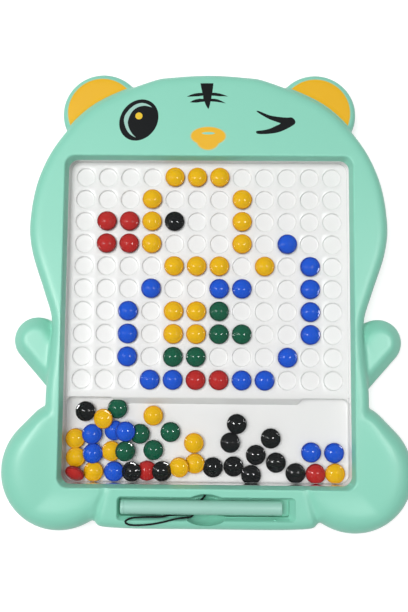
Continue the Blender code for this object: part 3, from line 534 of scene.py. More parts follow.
def painted(material, colour, spots, edge, top_z=None):
    """Sprays soft ellipses of a colour over a plastic; a spot with a minus sign is left bare."""
    tree = material.node_tree
    place = tree.nodes.new("ShaderNodeTexCoord")
    mask = None
    for sign, x, y, half_x, half_y in spots:
        spot = tree.nodes.new("ShaderNodeGroup")
        spot.node_tree = SPOT
        tree.links.new(place.outputs["Object"], spot.inputs["Place"])
        spot.inputs["Centre"].default_value = (x * mm, y * mm, 0.0)
        spot.inputs["Half Sizes"].default_value = (half_x * mm, half_y * mm, 1.0)
        spot.inputs["Edge"].default_value = edge / half_x
        if mask is None:
            mask = spot.outputs["Mask"]
        else:
            mask = maths(tree, "MAXIMUM" if sign > 0 else "SUBTRACT", mask, spot.outputs["Mask"], True)
    if top_z:
        parts = tree.nodes.new("ShaderNodeSeparateXYZ")
        tree.links.new(place.outputs["Object"], parts.inputs[0])
        below = tree.nodes.new("ShaderNodeMapRange")
        below.interpolation_type = "SMOOTHSTEP"
        below.inputs["From Min"].default_value = top_z * mm
        below.inputs["From Max"].default_value = (top_z + SPRAY_FADE) * mm
        below.inputs["To Min"].default_value = 1.0
        below.inputs["To Max"].default_value = 0.0
        tree.links.new(parts.outputs["Z"], below.inputs["Value"])
        mask = maths(tree, "MULTIPLY", mask, below.outputs["Result"])
    shader = tree.nodes["Principled BSDF"]
    before = shader.inputs["Base Color"].links[0].from_socket
    paint = tree.nodes.new("ShaderNodeMix")
    paint.data_type = "RGBA"
    paint.inputs[7].default_value = (*colour, 1.0)
    tree.links.new(mask, paint.inputs["Factor"])
    tree.links.new(before, paint.inputs[6])
    tree.links.new(paint.outputs[2], shader.inputs["Base Color"])


MINT = (0.266, 0.672, 0.515)
DEEP_MINT = (0.248, 0.642, 0.491)
SPRAY_YELLOW = (0.82, 0.45, 0.008)
# Sprayed spots: 1 to paint or -1 to leave bare, centre, half width and half height.
EAR_SPOTS = ((1, -79.2, 137.0, 25.4, 25.6), (1, 78.6, 137.0, 25.4, 25.6))
EAR_SPOT_TOP_Z = 19.5
NOSE_SPOTS = ((1, -0.5, 117.4, 12.8, 6.9), (1, -0.7, 114.8, 8.6, 7.8), (-1, -0.4, 119.5, 4.6, 0.9))
mint = plastic("mint_casing", MINT, DEEP_MINT, 0.37, shine=0.34)
painted(mint, SPRAY_YELLOW, EAR_SPOTS, 0.5, EAR_SPOT_TOP_Z)
painted(mint, SPRAY_YELLOW, NOSE_SPOTS, 0.9)
casing.data.materials.clear()
casing.data.materials.append(mint)
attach(casing, "root")
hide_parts("front_shell")

# Printed face. Glossy black and yellow ink, pad-printed on the head: a round open eye with a
# bare crescent and a yellow spark, a wink, and a small striped mark on the forehead.
EYE = (-51.3, 129.2)
EYE_HALF = (13.5, 16.2)
EYE_TILT = math.radians(-32)
EYE_SPARK = (-51.3, 132.2, 2.6)
INK_GAP = 0.02
INK_LAYER = 0.06
INK_SUNK = 0.1
INK_TOP = 0.04
# Each mark's ink, its layer, how many steps smooth each of its sides, and its outline.
FACE_MARKS = {
    "printed_wink": ("black", 0, 5, (
        (34.7, 136.1), (36.1, 136.4), (40.0, 134.8), (44.7, 133.0), (52.0, 131.8), (57.1, 131.5),
        (60.0, 131.6), (61.9, 130.5), (62.9, 128.6), (62.6, 126.9), (61.1, 125.6), (57.4, 123.4),
        (52.0, 120.9), (46.5, 119.6), (41.0, 119.1), (36.7, 119.1), (34.7, 119.6), (34.4, 120.5),
        (35.0, 121.4), (40.0, 122.0), (44.7, 123.3), (48.7, 125.2), (52.0, 126.9), (50.5, 127.8),
        (44.7, 129.9), (41.1, 131.8), (37.4, 134.0))),
    "printed_forehead_mark": ("black", 0, 1, (
        (-6.5, 157.0), (3.0, 157.2), (2.7, 153.5), (2.2, 150.0), (5.0, 149.9), (7.7, 149.4),
        (10.9, 148.4), (13.8, 147.2), (10.9, 147.4), (7.7, 147.3), (4.7, 147.6), (1.8, 147.8),
        (1.5, 145.5), (4.1, 145.4), (6.5, 144.9), (9.4, 143.6), (12.1, 142.0), (8.8, 142.6),
        (5.3, 143.1), (3.1, 143.3), (1.0, 143.4), (0.6, 141.2), (0.1, 139.0), (-0.6, 137.6),
        (-1.8, 139.4), (-2.7, 141.3), (-3.4, 143.3), (-6.2, 142.9), (-9.0, 142.5), (-11.6, 142.5),
        (-14.2, 142.7), (-12.1, 144.0), (-9.8, 144.9), (-7.1, 145.4), (-4.3, 145.3), (-4.5, 147.8),
        (-7.8, 147.3), (-11.0, 147.1), (-13.7, 146.9), (-16.4, 146.9), (-13.8, 148.3), (-11.0, 149.2),
        (-8.1, 149.7), (-5.1, 149.8), (-5.3, 151.2), (-6.0, 154.1))),
    "printed_eye_crescent": ("mint", 1, 4, (
        (-53.4, 116.0), (-57.5, 118.4), (-59.9, 121.4), (-61.4, 124.9), (-62.2, 128.7), (-61.8, 131.7),
        (-60.7, 134.0), (-57.8, 137.7), (-53.8, 140.8), (-49.4, 142.0), (-45.0, 141.0), (-42.0, 138.8),
        (-44.6, 139.5), (-47.9, 139.9), (-52.3, 138.7), (-55.9, 135.9), (-58.1, 132.1), (-59.3, 127.9),
        (-58.9, 124.6), (-57.5, 121.2), (-55.7, 118.4))),
}
face_level = max(v.co.z for v in casing.data.vertices
                 if v.co.y > 105 * mm and abs(v.co.x) < 60 * mm) / mm
inks = {
    "black": plastic("black_ink", (0.010, 0.012, 0.013), (0.014, 0.015, 0.016), 0.30, 600.0, shine=0.12),
    "mint": plastic("bare_mint", (0.36, 0.62, 0.54), (0.34, 0.60, 0.52), 0.36),
    "yellow": plastic("yellow_ink", (0.80, 0.52, 0.03), (0.86, 0.60, 0.06), 0.35, 600.0, shine=0.12)}


def printed(name, outline, ink, layer):
    """A film of ink over an outline, as thin as a hair, on the face or on another film."""
    low = face_level + INK_GAP + INK_LAYER * layer
    film = lofted(name, [(outline, low - INK_SUNK), (outline, low + INK_TOP)])
    only(film)
    bpy.ops.object.mode_set(mode="EDIT")
    bpy.ops.mesh.select_all(action="SELECT")
    bpy.ops.mesh.quads_convert_to_tris(ngon_method="CLIP")
    bpy.ops.object.mode_set(mode="OBJECT")
    film.data.materials.append(ink)
    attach(film, "root")


eye_outline = [(EYE[0] + x * math.cos(EYE_TILT) - y * math.sin(EYE_TILT),
                EYE[1] + x * math.sin(EYE_TILT) + y * math.cos(EYE_TILT))
               for x, y in ((EYE_HALF[0] * math.cos(turn), EYE_HALF[1] * math.sin(turn))
                            for turn in (2 * math.pi * i / 72 for i in range(72)))]
printed("printed_eye", eye_outline, inks["black"], 0)
printed("printed_eye_spark", round_outline(*EYE_SPARK, 32), inks["yellow"], 1)
for name, (ink, layer, steps, outline) in FACE_MARKS.items():
    printed(name, smooth_closed(outline, steps) if steps > 1 else outline, inks[ink], layer)

# Back cover and screws. A flat mint plate closes the back, set into the casing's seat and held
# by four small countersunk steel screws, two behind the ears and two in the feet.
BACK_MINT = (0.290, 0.700, 0.520)
DEEP_BACK_MINT = (0.265, 0.660, 0.485)
BACK_THICKNESS = 2.0
BACK_GAP = 0.3
BACK_SLAB_HALF = 200
SCREW_HEAD_RADIUS = 2.6
SCREW_SHANK_RADIUS = 1.1
SCREW_HEAD_TOP_Z = 0.2
SCREW_CONE_TOP_Z = 1.7
STEEL = (0.46, 0.46, 0.48, 1.0)
DULL_STEEL = (0.33, 0.33, 0.35, 1.0)
back_mint = plastic("mint_back", BACK_MINT, DEEP_BACK_MINT, 0.5, 500.0, 9.0, 0.12)
steel = bpy.data.materials.new("screw_steel")
steel.use_nodes = True
steel_shader = steel.node_tree.nodes["Principled BSDF"]
steel_shader.inputs["Metallic"].default_value = 1.0
steel_marks = steel.node_tree.nodes.new("ShaderNodeGroup")
steel_marks.node_tree = MARKS
steel_marks.inputs["Grain Scale"].default_value = 1800.0
steel_tone = steel.node_tree.nodes.new("ShaderNodeMix")
steel_tone.data_type = "RGBA"
steel_tone.inputs[6].default_value = STEEL
steel_tone.inputs[7].default_value = DULL_STEEL
steel.node_tree.links.new(steel_marks.outputs["Grain"], steel_tone.inputs["Factor"])
steel.node_tree.links.new(steel_tone.outputs[2], steel_shader.inputs["Base Color"])
steel_shader.inputs["Roughness"].default_value = 0.34


def refinish(node, finish):
    """A CAD piece whose shape is right keeps its mesh and takes this finish."""
    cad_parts[node].data.materials.clear()
    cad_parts[node].data.materials.append(finish)


screws = ["back_screw_" + str(number) for number in (1, 2, 3, 4)]
# One block for each lobe, each a hair taller than the last so that no two faces coincide.
back_blocks = []
for count, outline in enumerate(lobe_outlines, 1):
    inner = drawn_in(outline, WALL + BACK_GAP)
    back_blocks.append(lofted("back_plate", [(inner, height) for height in (
        -0.1 * count, BACK_THICKNESS + 0.1 * count)]))
back = back_blocks[0]
for block in back_blocks[1:]:
    carve(back, "UNION", block)
carve(back, "INTERSECT", lofted("back_slab", [
    (box_outline(0, 0, BACK_SLAB_HALF, BACK_SLAB_HALF, 5), height) for height in (0.0, BACK_THICKNESS)]))
for screw in screws:
    low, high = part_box(screw)
    x, y = (low[0] + high[0]) / 2 / mm, (low[1] + high[1]) / 2 / mm
    carve(back, "DIFFERENCE", lofted("screw_hole_cutter", [
        (round_outline(x, y, radius + BACK_GAP, 32), height)
        for radius, height in ((SCREW_HEAD_RADIUS, -1.0), (SCREW_HEAD_RADIUS, SCREW_HEAD_TOP_Z),
                               (SCREW_SHANK_RADIUS, SCREW_CONE_TOP_Z), (SCREW_SHANK_RADIUS, 3.0))]))
    refinish(screw, steel)
only(back)
bpy.ops.object.shade_smooth_by_angle(angle=math.radians(30))
back.data.materials.clear()
back.data.materials.append(back_mint)
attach(back, "root")
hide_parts("back_cover")

# Bead tray. One glossy white moulding under the cover: a plate with twelve columns and ten
# rows of shallow round dimples, a steep ramp at its lower edge, and the flat bead pocket.
TRAY_WHITE = (0.86, 0.86, 0.845)
SHADED_WHITE = (0.83, 0.835, 0.83)
PLATE_Z = 11.6
POCKET_Z = 4.3
PITCH = 16.6
FIRST_COLUMN_X = -91.3
FIRST_ROW_Y = 89.7
PLATE_EDGE_Y = -72.4
POCKET_TOP_Y = PLATE_EDGE_Y + 0.15
TRAY_HALF = (103.2, 117.5)
TRAY_CORNER = 5.5
TRAY_WALL = 1.6
TRAY_FOOT_Z = 2.3
TRAY_TOP_Z = 17.6
HOLLOW_FLOOR_Z = 10.0
COLUMNS = 12
ROWS = 10
SIDE_BORDER = 3.8
TOP_BORDER = 3.5
LOW_BORDER = 3.9
PLATE_LIP_STEPS = ((-0.35, -0.12), (-0.15, -0.4), (0, -1.4))
NEAR = 0.1
# Radius and drop of the rings from a dimple's rim down to its floor, and, for the pocket,
# how far each ring lies inside the wall and above the floor.
DIMPLE_RINGS = ((7.2, 0.0), (7.06, -0.07), (6.97, -0.3), (6.84, -0.85), (6.6, -1.25), (6.2, -1.45),
                (5.5, -1.5))
POCKET_RINGS = ((1.6, 0), (0.75, 0.2), (0.2, 0.75), (0, 1.6))
RAMP_HALF = 69.5
RAMP_FOOT_HALF = 66.0


def dimple_cell():
    """One square of the plate with its round dimple, centred on the first column and row."""
    bm = bmesh.new()
    sides = 32
    turns = [2 * math.pi * i / sides + math.pi / sides for i in range(sides)]
    square = []
    for turn in turns:
        reach = PITCH / 2 / max(abs(math.cos(turn)), abs(math.sin(turn)))
        square.append((reach * math.cos(turn), reach * math.sin(turn)))
    loops = [[bm.verts.new((x * mm, y * mm, 0)) for x, y in square]]
    for radius, drop in DIMPLE_RINGS:
        loops.append([bm.verts.new((radius * math.cos(turn) * mm, radius * math.sin(turn) * mm,
                                    drop * mm)) for turn in turns])
    for outer, inner in zip(loops, loops[1:]):
        for i in range(sides):
            j = (i + 1) % sides
            bm.faces.new((outer[i], outer[j], inner[j], inner[i]))
    bm.faces.new(loops[-1])
    for quadrant, (across, up) in enumerate(((1, 1), (-1, 1), (-1, -1), (1, -1))):
        i = sides // 8 - 1 + quadrant * sides // 4
        corner = bm.verts.new((across * PITCH / 2 * mm, up * PITCH / 2 * mm, 0))
        bm.faces.new((loops[0][(i + 1) % sides], loops[0][i], corner))
    bmesh.ops.translate(bm, verts=bm.verts[:],
                        vec=(FIRST_COLUMN_X * mm, FIRST_ROW_Y * mm, PLATE_Z * mm))
    return object_from(bm, "dimple_plate")


def grow_border(piece, axis, beyond, steps):
    """Pulls the open border that lies past a line outwards, step by step."""
    sign = 1 if beyond > 0 else -1
    for sideways, down in steps:
        bpy.ops.mesh.select_all(action="DESELECT")
        bm = bmesh.from_edit_mesh(piece.data)
        for edge in bm.edges:
            edge.select_set(edge.is_boundary and all(
                sign * v.co[axis] > sign * beyond * mm for v in edge.verts))
        bmesh.update_edit_mesh(piece.data)
        bpy.ops.mesh.extrude_region_move(TRANSFORM_OT_translate={
            "value": (sideways * mm if axis == 0 else 0, sideways * mm if axis == 1 else 0, down * mm)})


plate = dimple_cell()
for axis, count in ((0, COLUMNS), (1, ROWS)):
    repeat = plate.modifiers.new("repeat", "ARRAY")
    repeat.count = count
    repeat.use_relative_offset = False
    repeat.use_constant_offset = True
    repeat.constant_offset_displace = (PITCH * mm, 0, 0) if axis == 0 else (0, -PITCH * mm, 0)
    repeat.use_merge_vertices = True
    repeat.merge_threshold = 0.02 * mm
apply_all(plate)
bpy.ops.object.mode_set(mode="EDIT")
bpy.ops.mesh.select_all(action="SELECT")
bpy.ops.mesh.normals_make_consistent(inside=False)
bpy.context.tool_settings.mesh_select_mode = (False, True, False)
grid_low = (FIRST_COLUMN_X - PITCH / 2, FIRST_ROW_Y - (ROWS - 0.5) * PITCH)
grid_high = (FIRST_COLUMN_X + (COLUMNS - 0.5) * PITCH, FIRST_ROW_Y + PITCH / 2)
grow_border(plate, 0, grid_high[0] - NEAR, [(SIDE_BORDER, 0)])
grow_border(plate, 0, grid_low[0] + NEAR, [(-SIDE_BORDER, 0)])
grow_border(plate, 1, grid_high[1] - NEAR, [(TOP_BORDER, 0)])
grow_border(plate, 1, grid_low[1] + NEAR, [(-LOW_BORDER, 0)])
grow_border(plate, 1, grid_low[1] - LOW_BORDER + 2 * NEAR, PLATE_LIP_STEPS)
bpy.ops.object.mode_set(mode="OBJECT")
if sum(f.normal.z * f.area for f in plate.data.polygons) < 0:
    plate.data.flip_normals()


def tray_outline(growth):
    return box_outline(0, WINDOW_Y, TRAY_HALF[0] + growth, TRAY_HALF[1] + growth, TRAY_CORNER + growth)


def pocket_outline(growth):
    low_y = WINDOW_Y - TRAY_HALF[1]
    return box_outline(0, (POCKET_TOP_Y + low_y) / 2, TRAY_HALF[0] + growth,
                       (POCKET_TOP_Y - low_y) / 2 + growth, TRAY_CORNER + growth)


tray = lofted("bead_tray_moulding", [(tray_outline(TRAY_WALL), height)
                                     for height in (TRAY_FOOT_Z, TRAY_TOP_Z)])
carve(tray, "DIFFERENCE", lofted("chamber_cutter", [(tray_outline(0), height)
                                                    for height in (HOLLOW_FLOOR_Z, TRAY_TOP_Z + 1)]))
carve(tray, "DIFFERENCE", lofted("pocket_cutter", [
    *[(pocket_outline(-inset), POCKET_Z + rise) for inset, rise in POCKET_RINGS],
    (pocket_outline(0), PLATE_Z + 1)]))
ramp_top = PLATE_Z - 0.2
ramp_foot = POCKET_Z + 0.5
ramp_base = TRAY_FOOT_Z + 0.2
ramp_places = [
    (-RAMP_HALF, 2.0, TRAY_FOOT_Z), (RAMP_HALF, 2.0, TRAY_FOOT_Z), (RAMP_HALF, 2.0, ramp_top),
    (-RAMP_HALF, 2.0, ramp_top), (-RAMP_HALF, -0.3, ramp_top), (RAMP_HALF, -0.3, ramp_top),
    (RAMP_FOOT_HALF, -5.0, ramp_foot), (-RAMP_FOOT_HALF, -5.0, ramp_foot),
    (-RAMP_FOOT_HALF, -5.0, ramp_base), (RAMP_FOOT_HALF, -5.0, ramp_base)]
ramp_bm = bmesh.new()
corners = [ramp_bm.verts.new((x * mm, (PLATE_EDGE_Y + y) * mm, z * mm)) for x, y, z in ramp_places]
for face in ((0, 1, 2, 3), (3, 2, 5, 4), (4, 5, 6, 7), (7, 6, 9, 8), (8, 9, 1, 0), (0, 3, 4, 7, 8),
             (1, 9, 6, 5, 2)):
    ramp_bm.faces.new([corners[i] for i in face])
ramp = object_from(ramp_bm, "ramp")
only(ramp)
soften = ramp.modifiers.new("soft_edges", "BEVEL")
soften.width = 0.5 * mm
soften.segments = 3
apply_all(ramp)
tray = joined(tray, plate, ramp)
only(tray)
bpy.ops.object.shade_smooth_by_angle(angle=math.radians(35))
white = plastic("white_tray", TRAY_WHITE, SHADED_WHITE, 0.30, 700.0, 20.0, 0.03)
tray.data.materials.clear()
tray.data.materials.append(white)
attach(tray, "root")
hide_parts("bead_tray")

# Beads. Lens-shaped glossy plastic discs with a steel core: a shallow dome on each side of a
# thin flange. Forty-five lie in dimples as a picture, the rest are loose in the pocket.
BEAD_RADIUS = 7.25
BEAD_SIDES = 28
MERGE_DISTANCE = 0.002
PLATE_BEAD_Z = 13.7
LOOSE_BEAD_Z = 7.9
# Radius and height above the middle plane, from the dome's top out to the flange's edge.
BEAD_PROFILE = (
    (0.0, 3.30), (1.0, 3.24), (2.0, 3.05), (3.0, 2.72), (3.9, 2.30), (4.7, 1.80),
    (5.3, 1.36), (5.62, 1.10), (5.76, 1.03), (5.9, 1.00), (6.5, 0.985), (6.66, 0.95),
    (6.85, 0.85), (7.08, 0.55), (BEAD_RADIUS, 0.18))
# Each colour as it is in the middle of a bead, and at its rim, where it is darkened as painted shade.
BEAD_COLOURS = {
    "yellow": ((0.84, 0.48, 0.002), (0.66, 0.29, 0.001)),
    "red": ((0.50, 0.020, 0.018), (0.24, 0.006, 0.008)),
    "blue": ((0.008, 0.095, 0.66), (0.004, 0.035, 0.34)),
    "green": ((0.004, 0.105, 0.052), (0.002, 0.045, 0.024)),
    "black": ((0.004, 0.0055, 0.006), (0.002, 0.0025, 0.003))}
PLATE_BEADS = {
    "yellow": ((1, 5), (1, 6), (1, 7), (2, 4), (2, 8), (3, 4), (3, 8), (4, 4), (4, 8),
               (5, 5), (5, 6), (5, 7), (5, 9), (7, 5), (7, 6), (8, 5), (8, 6)),
    "red": ((3, 2), (3, 3), (4, 2), (4, 3), (10, 6), (10, 7)),
    "black": ((3, 5),),
    "blue": ((4, 10), (5, 11), (6, 4), (6, 7), (6, 8), (6, 11), (7, 3), (7, 11), (8, 3),
             (8, 11), (9, 3), (9, 10), (10, 4), (10, 5), (10, 8), (10, 9)),
    "green": ((7, 7), (8, 7), (8, 8), (9, 5), (9, 6)),
}


def bead_finish(colour):
    """Glossy through-coloured plastic, with painted shade that darkens it towards the bead's rim."""
    body, rim_shade = BEAD_COLOURS[colour]
    made = plastic(colour + "_bead", body, body, 0.13, grain_scale=1500.0, cloud_scale=60.0,
                   relief=0.02, coat=0.7, shine=0.06)
    tree = made.node_tree
    # Painted shade: the colour darkens smoothly over the outer part of the bead, towards its rim.
    across = tree.nodes.new("ShaderNodeAttribute")
    across.attribute_name = "from_centre"
    rim_shade_fade = tree.nodes.new("ShaderNodeMapRange")
    rim_shade_fade.interpolation_type = "SMOOTHSTEP"
    rim_shade_fade.inputs["From Min"].default_value = 0.70
    rim_shade_fade.inputs["From Max"].default_value = 1.0
    blend = tree.nodes.new("ShaderNodeMix")
    blend.data_type = "RGBA"
    blend.inputs[7].default_value = (*rim_shade, 1.0)
    tree.links.new(across.outputs["Fac"], rim_shade_fade.inputs["Value"])
    tree.links.new(rim_shade_fade.outputs["Result"], blend.inputs["Factor"])
    tree.links.new(tree.nodes["tone"].outputs[2], blend.inputs[6])
    tree.links.new(blend.outputs[2], tree.nodes["Principled BSDF"].inputs["Base Color"])
    return made


def turned_bead():
    """The pattern bead: half its section spun round the upright axis and mirrored below."""
    bm = bmesh.new()
    section = [*BEAD_PROFILE, *[(r, -z) for r, z in reversed(BEAD_PROFILE)]]
    points = [bm.verts.new((r * mm, 0, z * mm)) for r, z in section]
    edges = [bm.edges.new(pair) for pair in zip(points, points[1:])]
    bmesh.ops.spin(bm, geom=points + edges, cent=(0, 0, 0), axis=(0, 0, 1), angle=2 * math.pi,
                   steps=BEAD_SIDES, use_merge=True)
    bmesh.ops.remove_doubles(bm, verts=bm.verts[:], dist=MERGE_DISTANCE * mm)
    pattern = object_from(bm, "pattern_bead")
    only(pattern)
    bpy.ops.object.shade_smooth_by_angle(angle=math.radians(60))
    reach = pattern.data.attributes.new("from_centre", "FLOAT", "POINT")
    for v in pattern.data.vertices:
        reach.data[v.index].value = v.co.xy.length / (BEAD_RADIUS * mm)
    return pattern


pattern_bead = turned_bead()
bead_finishes = {colour: bead_finish(colour) for colour in BEAD_COLOURS}


def laid_bead(name, colour, x, y, z, body, tilt=0.0, towards=0.0):
    """A copy of the pattern bead, its side that faces a compass angle tilted up."""
    bead = bpy.data.objects.new(name, pattern_bead.data.copy())
    bpy.context.scene.collection.objects.link(bead)
    angle = math.radians(towards)
    lean = Matrix.Rotation(math.radians(tilt), 4, Vector((math.sin(angle), -math.cos(angle), 0)))
    bead.data.transform(Matrix.Translation((x * mm, y * mm, z * mm)) @ lean)
    bead.data.materials.clear()
    bead.data.materials.append(bead_finishes[colour])
    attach(bead, body)
    return bead


for colour, cells in PLATE_BEADS.items():
    for row, column in cells:
        node = f"{colour}_bead_row{row:02d}_col{column:02d}"
        bead = laid_bead("lens_" + node, colour, FIRST_COLUMN_X + (column - 1) * PITCH,
                         FIRST_ROW_Y - (row - 1) * PITCH, PLATE_BEAD_Z, node)
        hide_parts(node)

# Each loose bead's colour, place, lift off the pocket's floor, tilt and the side it tilts up to.
LOOSE_BEADS = {
    "bead_heap": (
        ("black", -88.4, -83.1, 0, 0, 0), ("green", -65.1, -80.9, 0, 0, 0),
        ("yellow", -75.0, -88.2, 2.2, 13, 5), ("yellow", -38.9, -85.8, 0, 0, 0),
        ("blue", -82.9, -99.3, 1.4, 8, 195), ("blue", -66.9, -96.7, 0, 0, 0),
        ("blue", -58.5, -97.1, 3.9, 5, 170), ("green", -48.5, -99.0, 0, 0, 0),
        ("green", -26.3, -97.5, 0, 0, 0), ("yellow", -95.3, -102.7, 0, 0, 0),
        ("yellow", -94.7, -116.1, 0, 0, 0), ("blue", -82.0, -113.0, 1.6, 9, 200),
        ("yellow", -68.7, -111.5, 0, 0, 0), ("green", -58.3, -111.0, 4.2, 14, 180),
        ("green", -38.5, -110.5, 0, 0, 0), ("yellow", -9.2, -105.2, 0, 0, 0),
        ("red", -94.7, -127.2, 2.3, 42, 72), ("yellow", -81.6, -126.1, 0, 0, 0),
        ("blue", -66.8, -126.0, 0, 0, 0), ("black", -53.9, -125.6, 2.6, 13, 0),
        ("red", -43.0, -125.2, 0, 0, 0), ("black", -31.9, -125.1, 2.5, 13, 180),
        ("yellow", -19.6, -122.3, 2.3, 12, 12), ("yellow", -8.4, -119.8, 0, 0, 0),
        ("black", 4.6, -122.4, 0, 0, 0), ("black", 19.5, -121.6, 0, 0, 0),
        ("black", 32.2, -127.6, 0, 0, 0), ("black", 35.6, -113.3, 0, 0, 0),
        ("black", 50.1, -118.6, 0, 0, 0), ("black", 46.4, -101.4, 0, 0, 0)),
    "black_bead_pair": (("black", 21.8, -91.3, 0, 0, 0), ("black", 17.1, -104.6, 0.6, 5, 250)),
    "corner_bead_heap": (
        ("black", 64.2, -126.0, 0, 0, 0), ("red", 78.7, -126.3, 0, 0, 0),
        ("yellow", 92.7, -126.0, 0, 0, 0), ("blue", 75.5, -111.1, 0, 0, 0),
        ("blue", 92.1, -111.3, 0, 0, 0)),
}
for heap, beads in LOOSE_BEADS.items():
    for number, (colour, x, y, lift, lean, towards) in enumerate(beads, 1):
        bead = laid_bead(f"{heap}_{number:02d}_{colour}", colour, x, y, LOOSE_BEAD_Z + lift, heap,
                         lean, towards)
        if number == 1:
            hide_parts(heap)
bpy.data.objects.remove(pattern_bead, do_unlink=True)

# Clear cover. One moulding of glass-clear styrene: a flange caught under the well's wall, and
# a raised panel with a rounded edge that keeps the beads in and that the pen slides on.
COVER_FLANGE = 2.2
COVER_LOW_Z = 17.9
FLANGE_TOP_Z = 19.0
COVER_INDEX = 1.18
# Rings of the panel and of the hollow under it: growth past the window's outline, and height.
PANEL_RINGS = ((-2.1, FLANGE_TOP_Z), (-2.1, 19.2), (-2.19, 19.66), (-2.45, 20.05), (-2.84, 20.31),
               (-3.3, 20.4))
HOLLOW_RINGS = ((-3.4, COVER_LOW_Z - 1), (-3.4, COVER_LOW_Z), (-3.5, 18.3), (-3.7, 18.52), (-4.1, 18.6))
cover = lofted("clear_cover", [
    *[(window_outline(COVER_FLANGE, COVER_FLANGE), height) for height in (COVER_LOW_Z, FLANGE_TOP_Z)],
    *[(window_outline(growth), height) for growth, height in PANEL_RINGS]])
carve(cover, "DIFFERENCE", lofted("cover_recess_cutter", [
    (window_outline(growth), height) for growth, height in HOLLOW_RINGS]))
only(cover)
bpy.ops.object.shade_smooth_by_angle(angle=math.radians(40))
clear = bpy.data.materials.new("clear_cover")
clear.use_nodes = True
clear_tree = clear.node_tree
clear_shader = clear_tree.nodes["Principled BSDF"]
clear_shader.inputs["Base Color"].default_value = (1.0, 1.0, 1.0, 1.0)
clear_shader.inputs["Transmission Weight"].default_value = 1.0
clear_shader.inputs["IOR"].default_value = COVER_INDEX
clear_marks = clear_tree.nodes.new("ShaderNodeGroup")
clear_marks.node_tree = MARKS
clear_marks.inputs["Cloud Scale"].default_value = 30.0
clear_gloss = clear_tree.nodes.new("ShaderNodeMapRange")
clear_gloss.inputs["To Min"].default_value = 0.001
clear_gloss.inputs["To Max"].default_value = 0.003
clear_tree.links.new(clear_marks.outputs["Cloud"], clear_gloss.inputs["Value"])
clear_tree.links.new(clear_gloss.outputs["Result"], clear_shader.inputs["Roughness"])
# Shadow and diffuse rays, and reflections in other pieces, go through it as through air.
clear_ray = clear_tree.nodes.new("ShaderNodeLightPath").outputs
lighting = maths(clear_tree, "MAXIMUM", clear_ray["Is Shadow Ray"], clear_ray["Is Diffuse Ray"])
mirrored = maths(clear_tree, "SUBTRACT", clear_ray["Is Glossy Ray"], clear_ray["Is Transmission Ray"], True)
passing = maths(clear_tree, "MAXIMUM", lighting, mirrored)
clear_tree.links.new(maths(clear_tree, "SUBTRACT", 1.0, passing), clear_shader.inputs["Alpha"])
cover.data.materials.append(clear)
unlit = bpy.data.collections.new("lamps_pass_over")
unlit.objects.link(cover)
unlit.collection_objects[0].light_linking.link_state = "EXCLUDE"
for lamp in (left_window, overhead, left_spark, right_spark):
    lamp.light_linking.receiver_collection = unlit
glossed = bpy.data.collections.new("sheen_falls_on")
glossed.objects.link(casing)
sheen.light_linking.receiver_collection = glossed
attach(cover, "root")
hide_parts("clear_window")

# Pen. A pale mint barrel with a small disc magnet set in its right end and a round plug
# pressed into its tail; it lies in the slot and lifts straight out.
PEN_Y = -148.4
PEN_Z = 20.05
PALE_MINT = (0.36, 0.66, 0.555)
SHADED_PALE_MINT = (0.335, 0.63, 0.53)
MAGNET_GREY = (0.085, 0.085, 0.095)
DARK_MAGNET_GREY = (0.06, 0.06, 0.07)
# Each section runs along the pen from left to right, as place and radius.
BARREL_SECTION = (
    (-51.2, 0.0), (-51.2, 3.5), (-57.5, 3.5), (-57.5, 4.99), (-57.44, 5.05), (52.4, 5.05),
    (52.75, 4.97), (53.05, 4.72), (53.2, 4.35), (53.2, 3.7), (49.6, 3.7), (49.6, 0.0))
PLUG_SECTION = (
    (-59.9, 0.0), (-59.9, 4.35), (-59.75, 4.72), (-59.45, 4.97), (-59.1, 5.05), (-57.66, 5.05),
    (-57.6, 4.99), (-57.6, 3.2), (-51.8, 3.2), (-51.8, 0.0))
MAGNET_SECTION = ((49.9, 0.0), (49.9, 3.2), (50.1, 3.4), (52.7, 3.4), (52.9, 3.2), (52.9, 0.0))
# The hole under the barrel: centre, half sizes and corner, and its lowest and highest level.
CORD_HOLE = (-52.2, -151.6, 2.4, 0.95, 0.9)
CORD_HOLE_LEVELS = (14.0, 17.6)


def turned_piece(name, section, finish, node, steps=48):
    """A section of (x, radius) spun round the pen's axis."""
    bm = bmesh.new()
    points = [bm.verts.new((x * mm, 0, r * mm)) for x, r in section]
    edges = [bm.edges.new(pair) for pair in zip(points, points[1:])]
    bmesh.ops.spin(bm, geom=points + edges, cent=(0, 0, 0), axis=(1, 0, 0), angle=2 * math.pi,
                   steps=steps, use_merge=True)
    bmesh.ops.remove_doubles(bm, verts=bm.verts[:], dist=MERGE_DISTANCE * mm)
    bmesh.ops.translate(bm, verts=bm.verts[:], vec=(0, PEN_Y * mm, PEN_Z * mm))
    piece = object_from(bm, name)
    only(piece)
    bpy.ops.object.shade_smooth_by_angle(angle=math.radians(35))
    piece.data.materials.append(finish)
    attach(piece, "pen")
    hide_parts(node)
    return piece


pale_mint = plastic("pen_mint", PALE_MINT, SHADED_PALE_MINT, 0.34, 900.0, 40.0, 0.05)
barrel = turned_piece("pen_barrel_turned", BARREL_SECTION, pale_mint, "pen_barrel")
carve(barrel, "DIFFERENCE", lofted("pen_hole_cutter", [
    (box_outline(*CORD_HOLE), height) for height in CORD_HOLE_LEVELS]))
turned_piece("pen_tail_plug_turned", PLUG_SECTION, pale_mint, "pen_tail_plug")
magnet_finish = plastic("magnet", MAGNET_GREY, DARK_MAGNET_GREY, 0.4, 1400.0)
magnet_finish.node_tree.nodes["Principled BSDF"].inputs["Metallic"].default_value = 0.8
turned_piece("pen_magnet_turned", MAGNET_SECTION, magnet_finish, "pen_magnet")
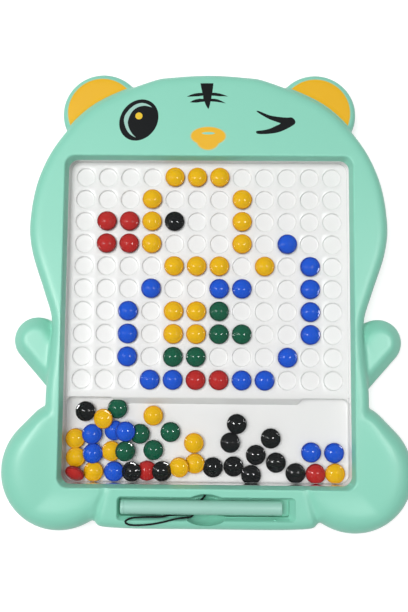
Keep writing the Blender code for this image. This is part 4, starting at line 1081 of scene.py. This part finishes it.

# Tether. A thin black braided cord from a hole in the scoop's wall to one near the pen's
# tail. Its slack makes one flat loop on the bar below the slot.
CORD_BLACK = (0.008, 0.010, 0.010)
WORN_BLACK = (0.014, 0.016, 0.016)
TETHER_DIAMETER = 1.3
TETHER_STEP = 1.2
TETHER_ROUTE = (
    (-1.0, -139.0, 19.1), (-1.0, -140.7, 19.1), (-2.9, -143.3, 16.4), (-5.2, -146.1, 14.0),
    (-7.2, -149.1, 13.7), (-9.2, -151.9, 15.3), (-13.5, -153.4, 16.0), (-20.0, -153.6, 16.4),
    (-26.0, -154.3, 19.0), (-32.0, -154.8, 21.6), (-40.0, -154.8, 22.4), (-47.5, -154.9, 23.2),
    (-52.8, -155.5, 24.6), (-56.0, -157.4, 25.25), (-54.0, -159.5, 24.7), (-48.0, -160.1, 24.35),
    (-38.0, -159.2, 24.9), (-28.5, -157.2, 25.45), (-21.5, -155.5, 24.6), (-15.5, -155.0, 22.7),
    (-10.8, -155.0, 19.8), (-9.2, -153.9, 17.4), (-11.6, -152.6, 15.7), (-18.0, -152.1, 15.5),
    (-30.0, -152.1, 15.5), (-42.0, -152.1, 15.5), (-48.5, -152.1, 15.5), (-50.8, -151.9, 15.6),
    (-52.4, -151.7, 16.1), (-53.2, -151.6, 17.0))


def tether_points(step):
    """The route as a smooth line with a point about every step."""
    route = [Vector(point) for point in TETHER_ROUTE]
    ends = [2 * route[0] - route[1]] + route + [2 * route[-1] - route[-2]]
    points = []
    for near in zip(ends, ends[1:], ends[2:], ends[3:]):
        count = max(1, round((near[2] - near[1]).length / step))
        points += [between(*near, s / count) for s in range(count)]
    points.append(route[-1])
    return points


tether_line = bpy.data.curves.new("tether", "CURVE")
tether_line.dimensions = "3D"
tether_line.bevel_depth = TETHER_DIAMETER / 2 * mm
tether_line.bevel_resolution = 4
tether_line.use_fill_caps = True
path = tether_line.splines.new("POLY")
tether_places = tether_points(TETHER_STEP)
path.points.add(len(tether_places) - 1)
for knot, place in zip(path.points, tether_places):
    knot.co = (*(place * mm), 1.0)
tether = bpy.data.objects.new("tether", tether_line)
bpy.context.scene.collection.objects.link(tether)
only(tether)
bpy.ops.object.convert(target="MESH")
tether.data.materials.append(plastic("black_cord", CORD_BLACK, WORN_BLACK, 0.55, 2500.0, 200.0, 0.5,
                                     shine=0.1))
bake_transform(tether)
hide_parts("tether_cord")

low, high = cad_box
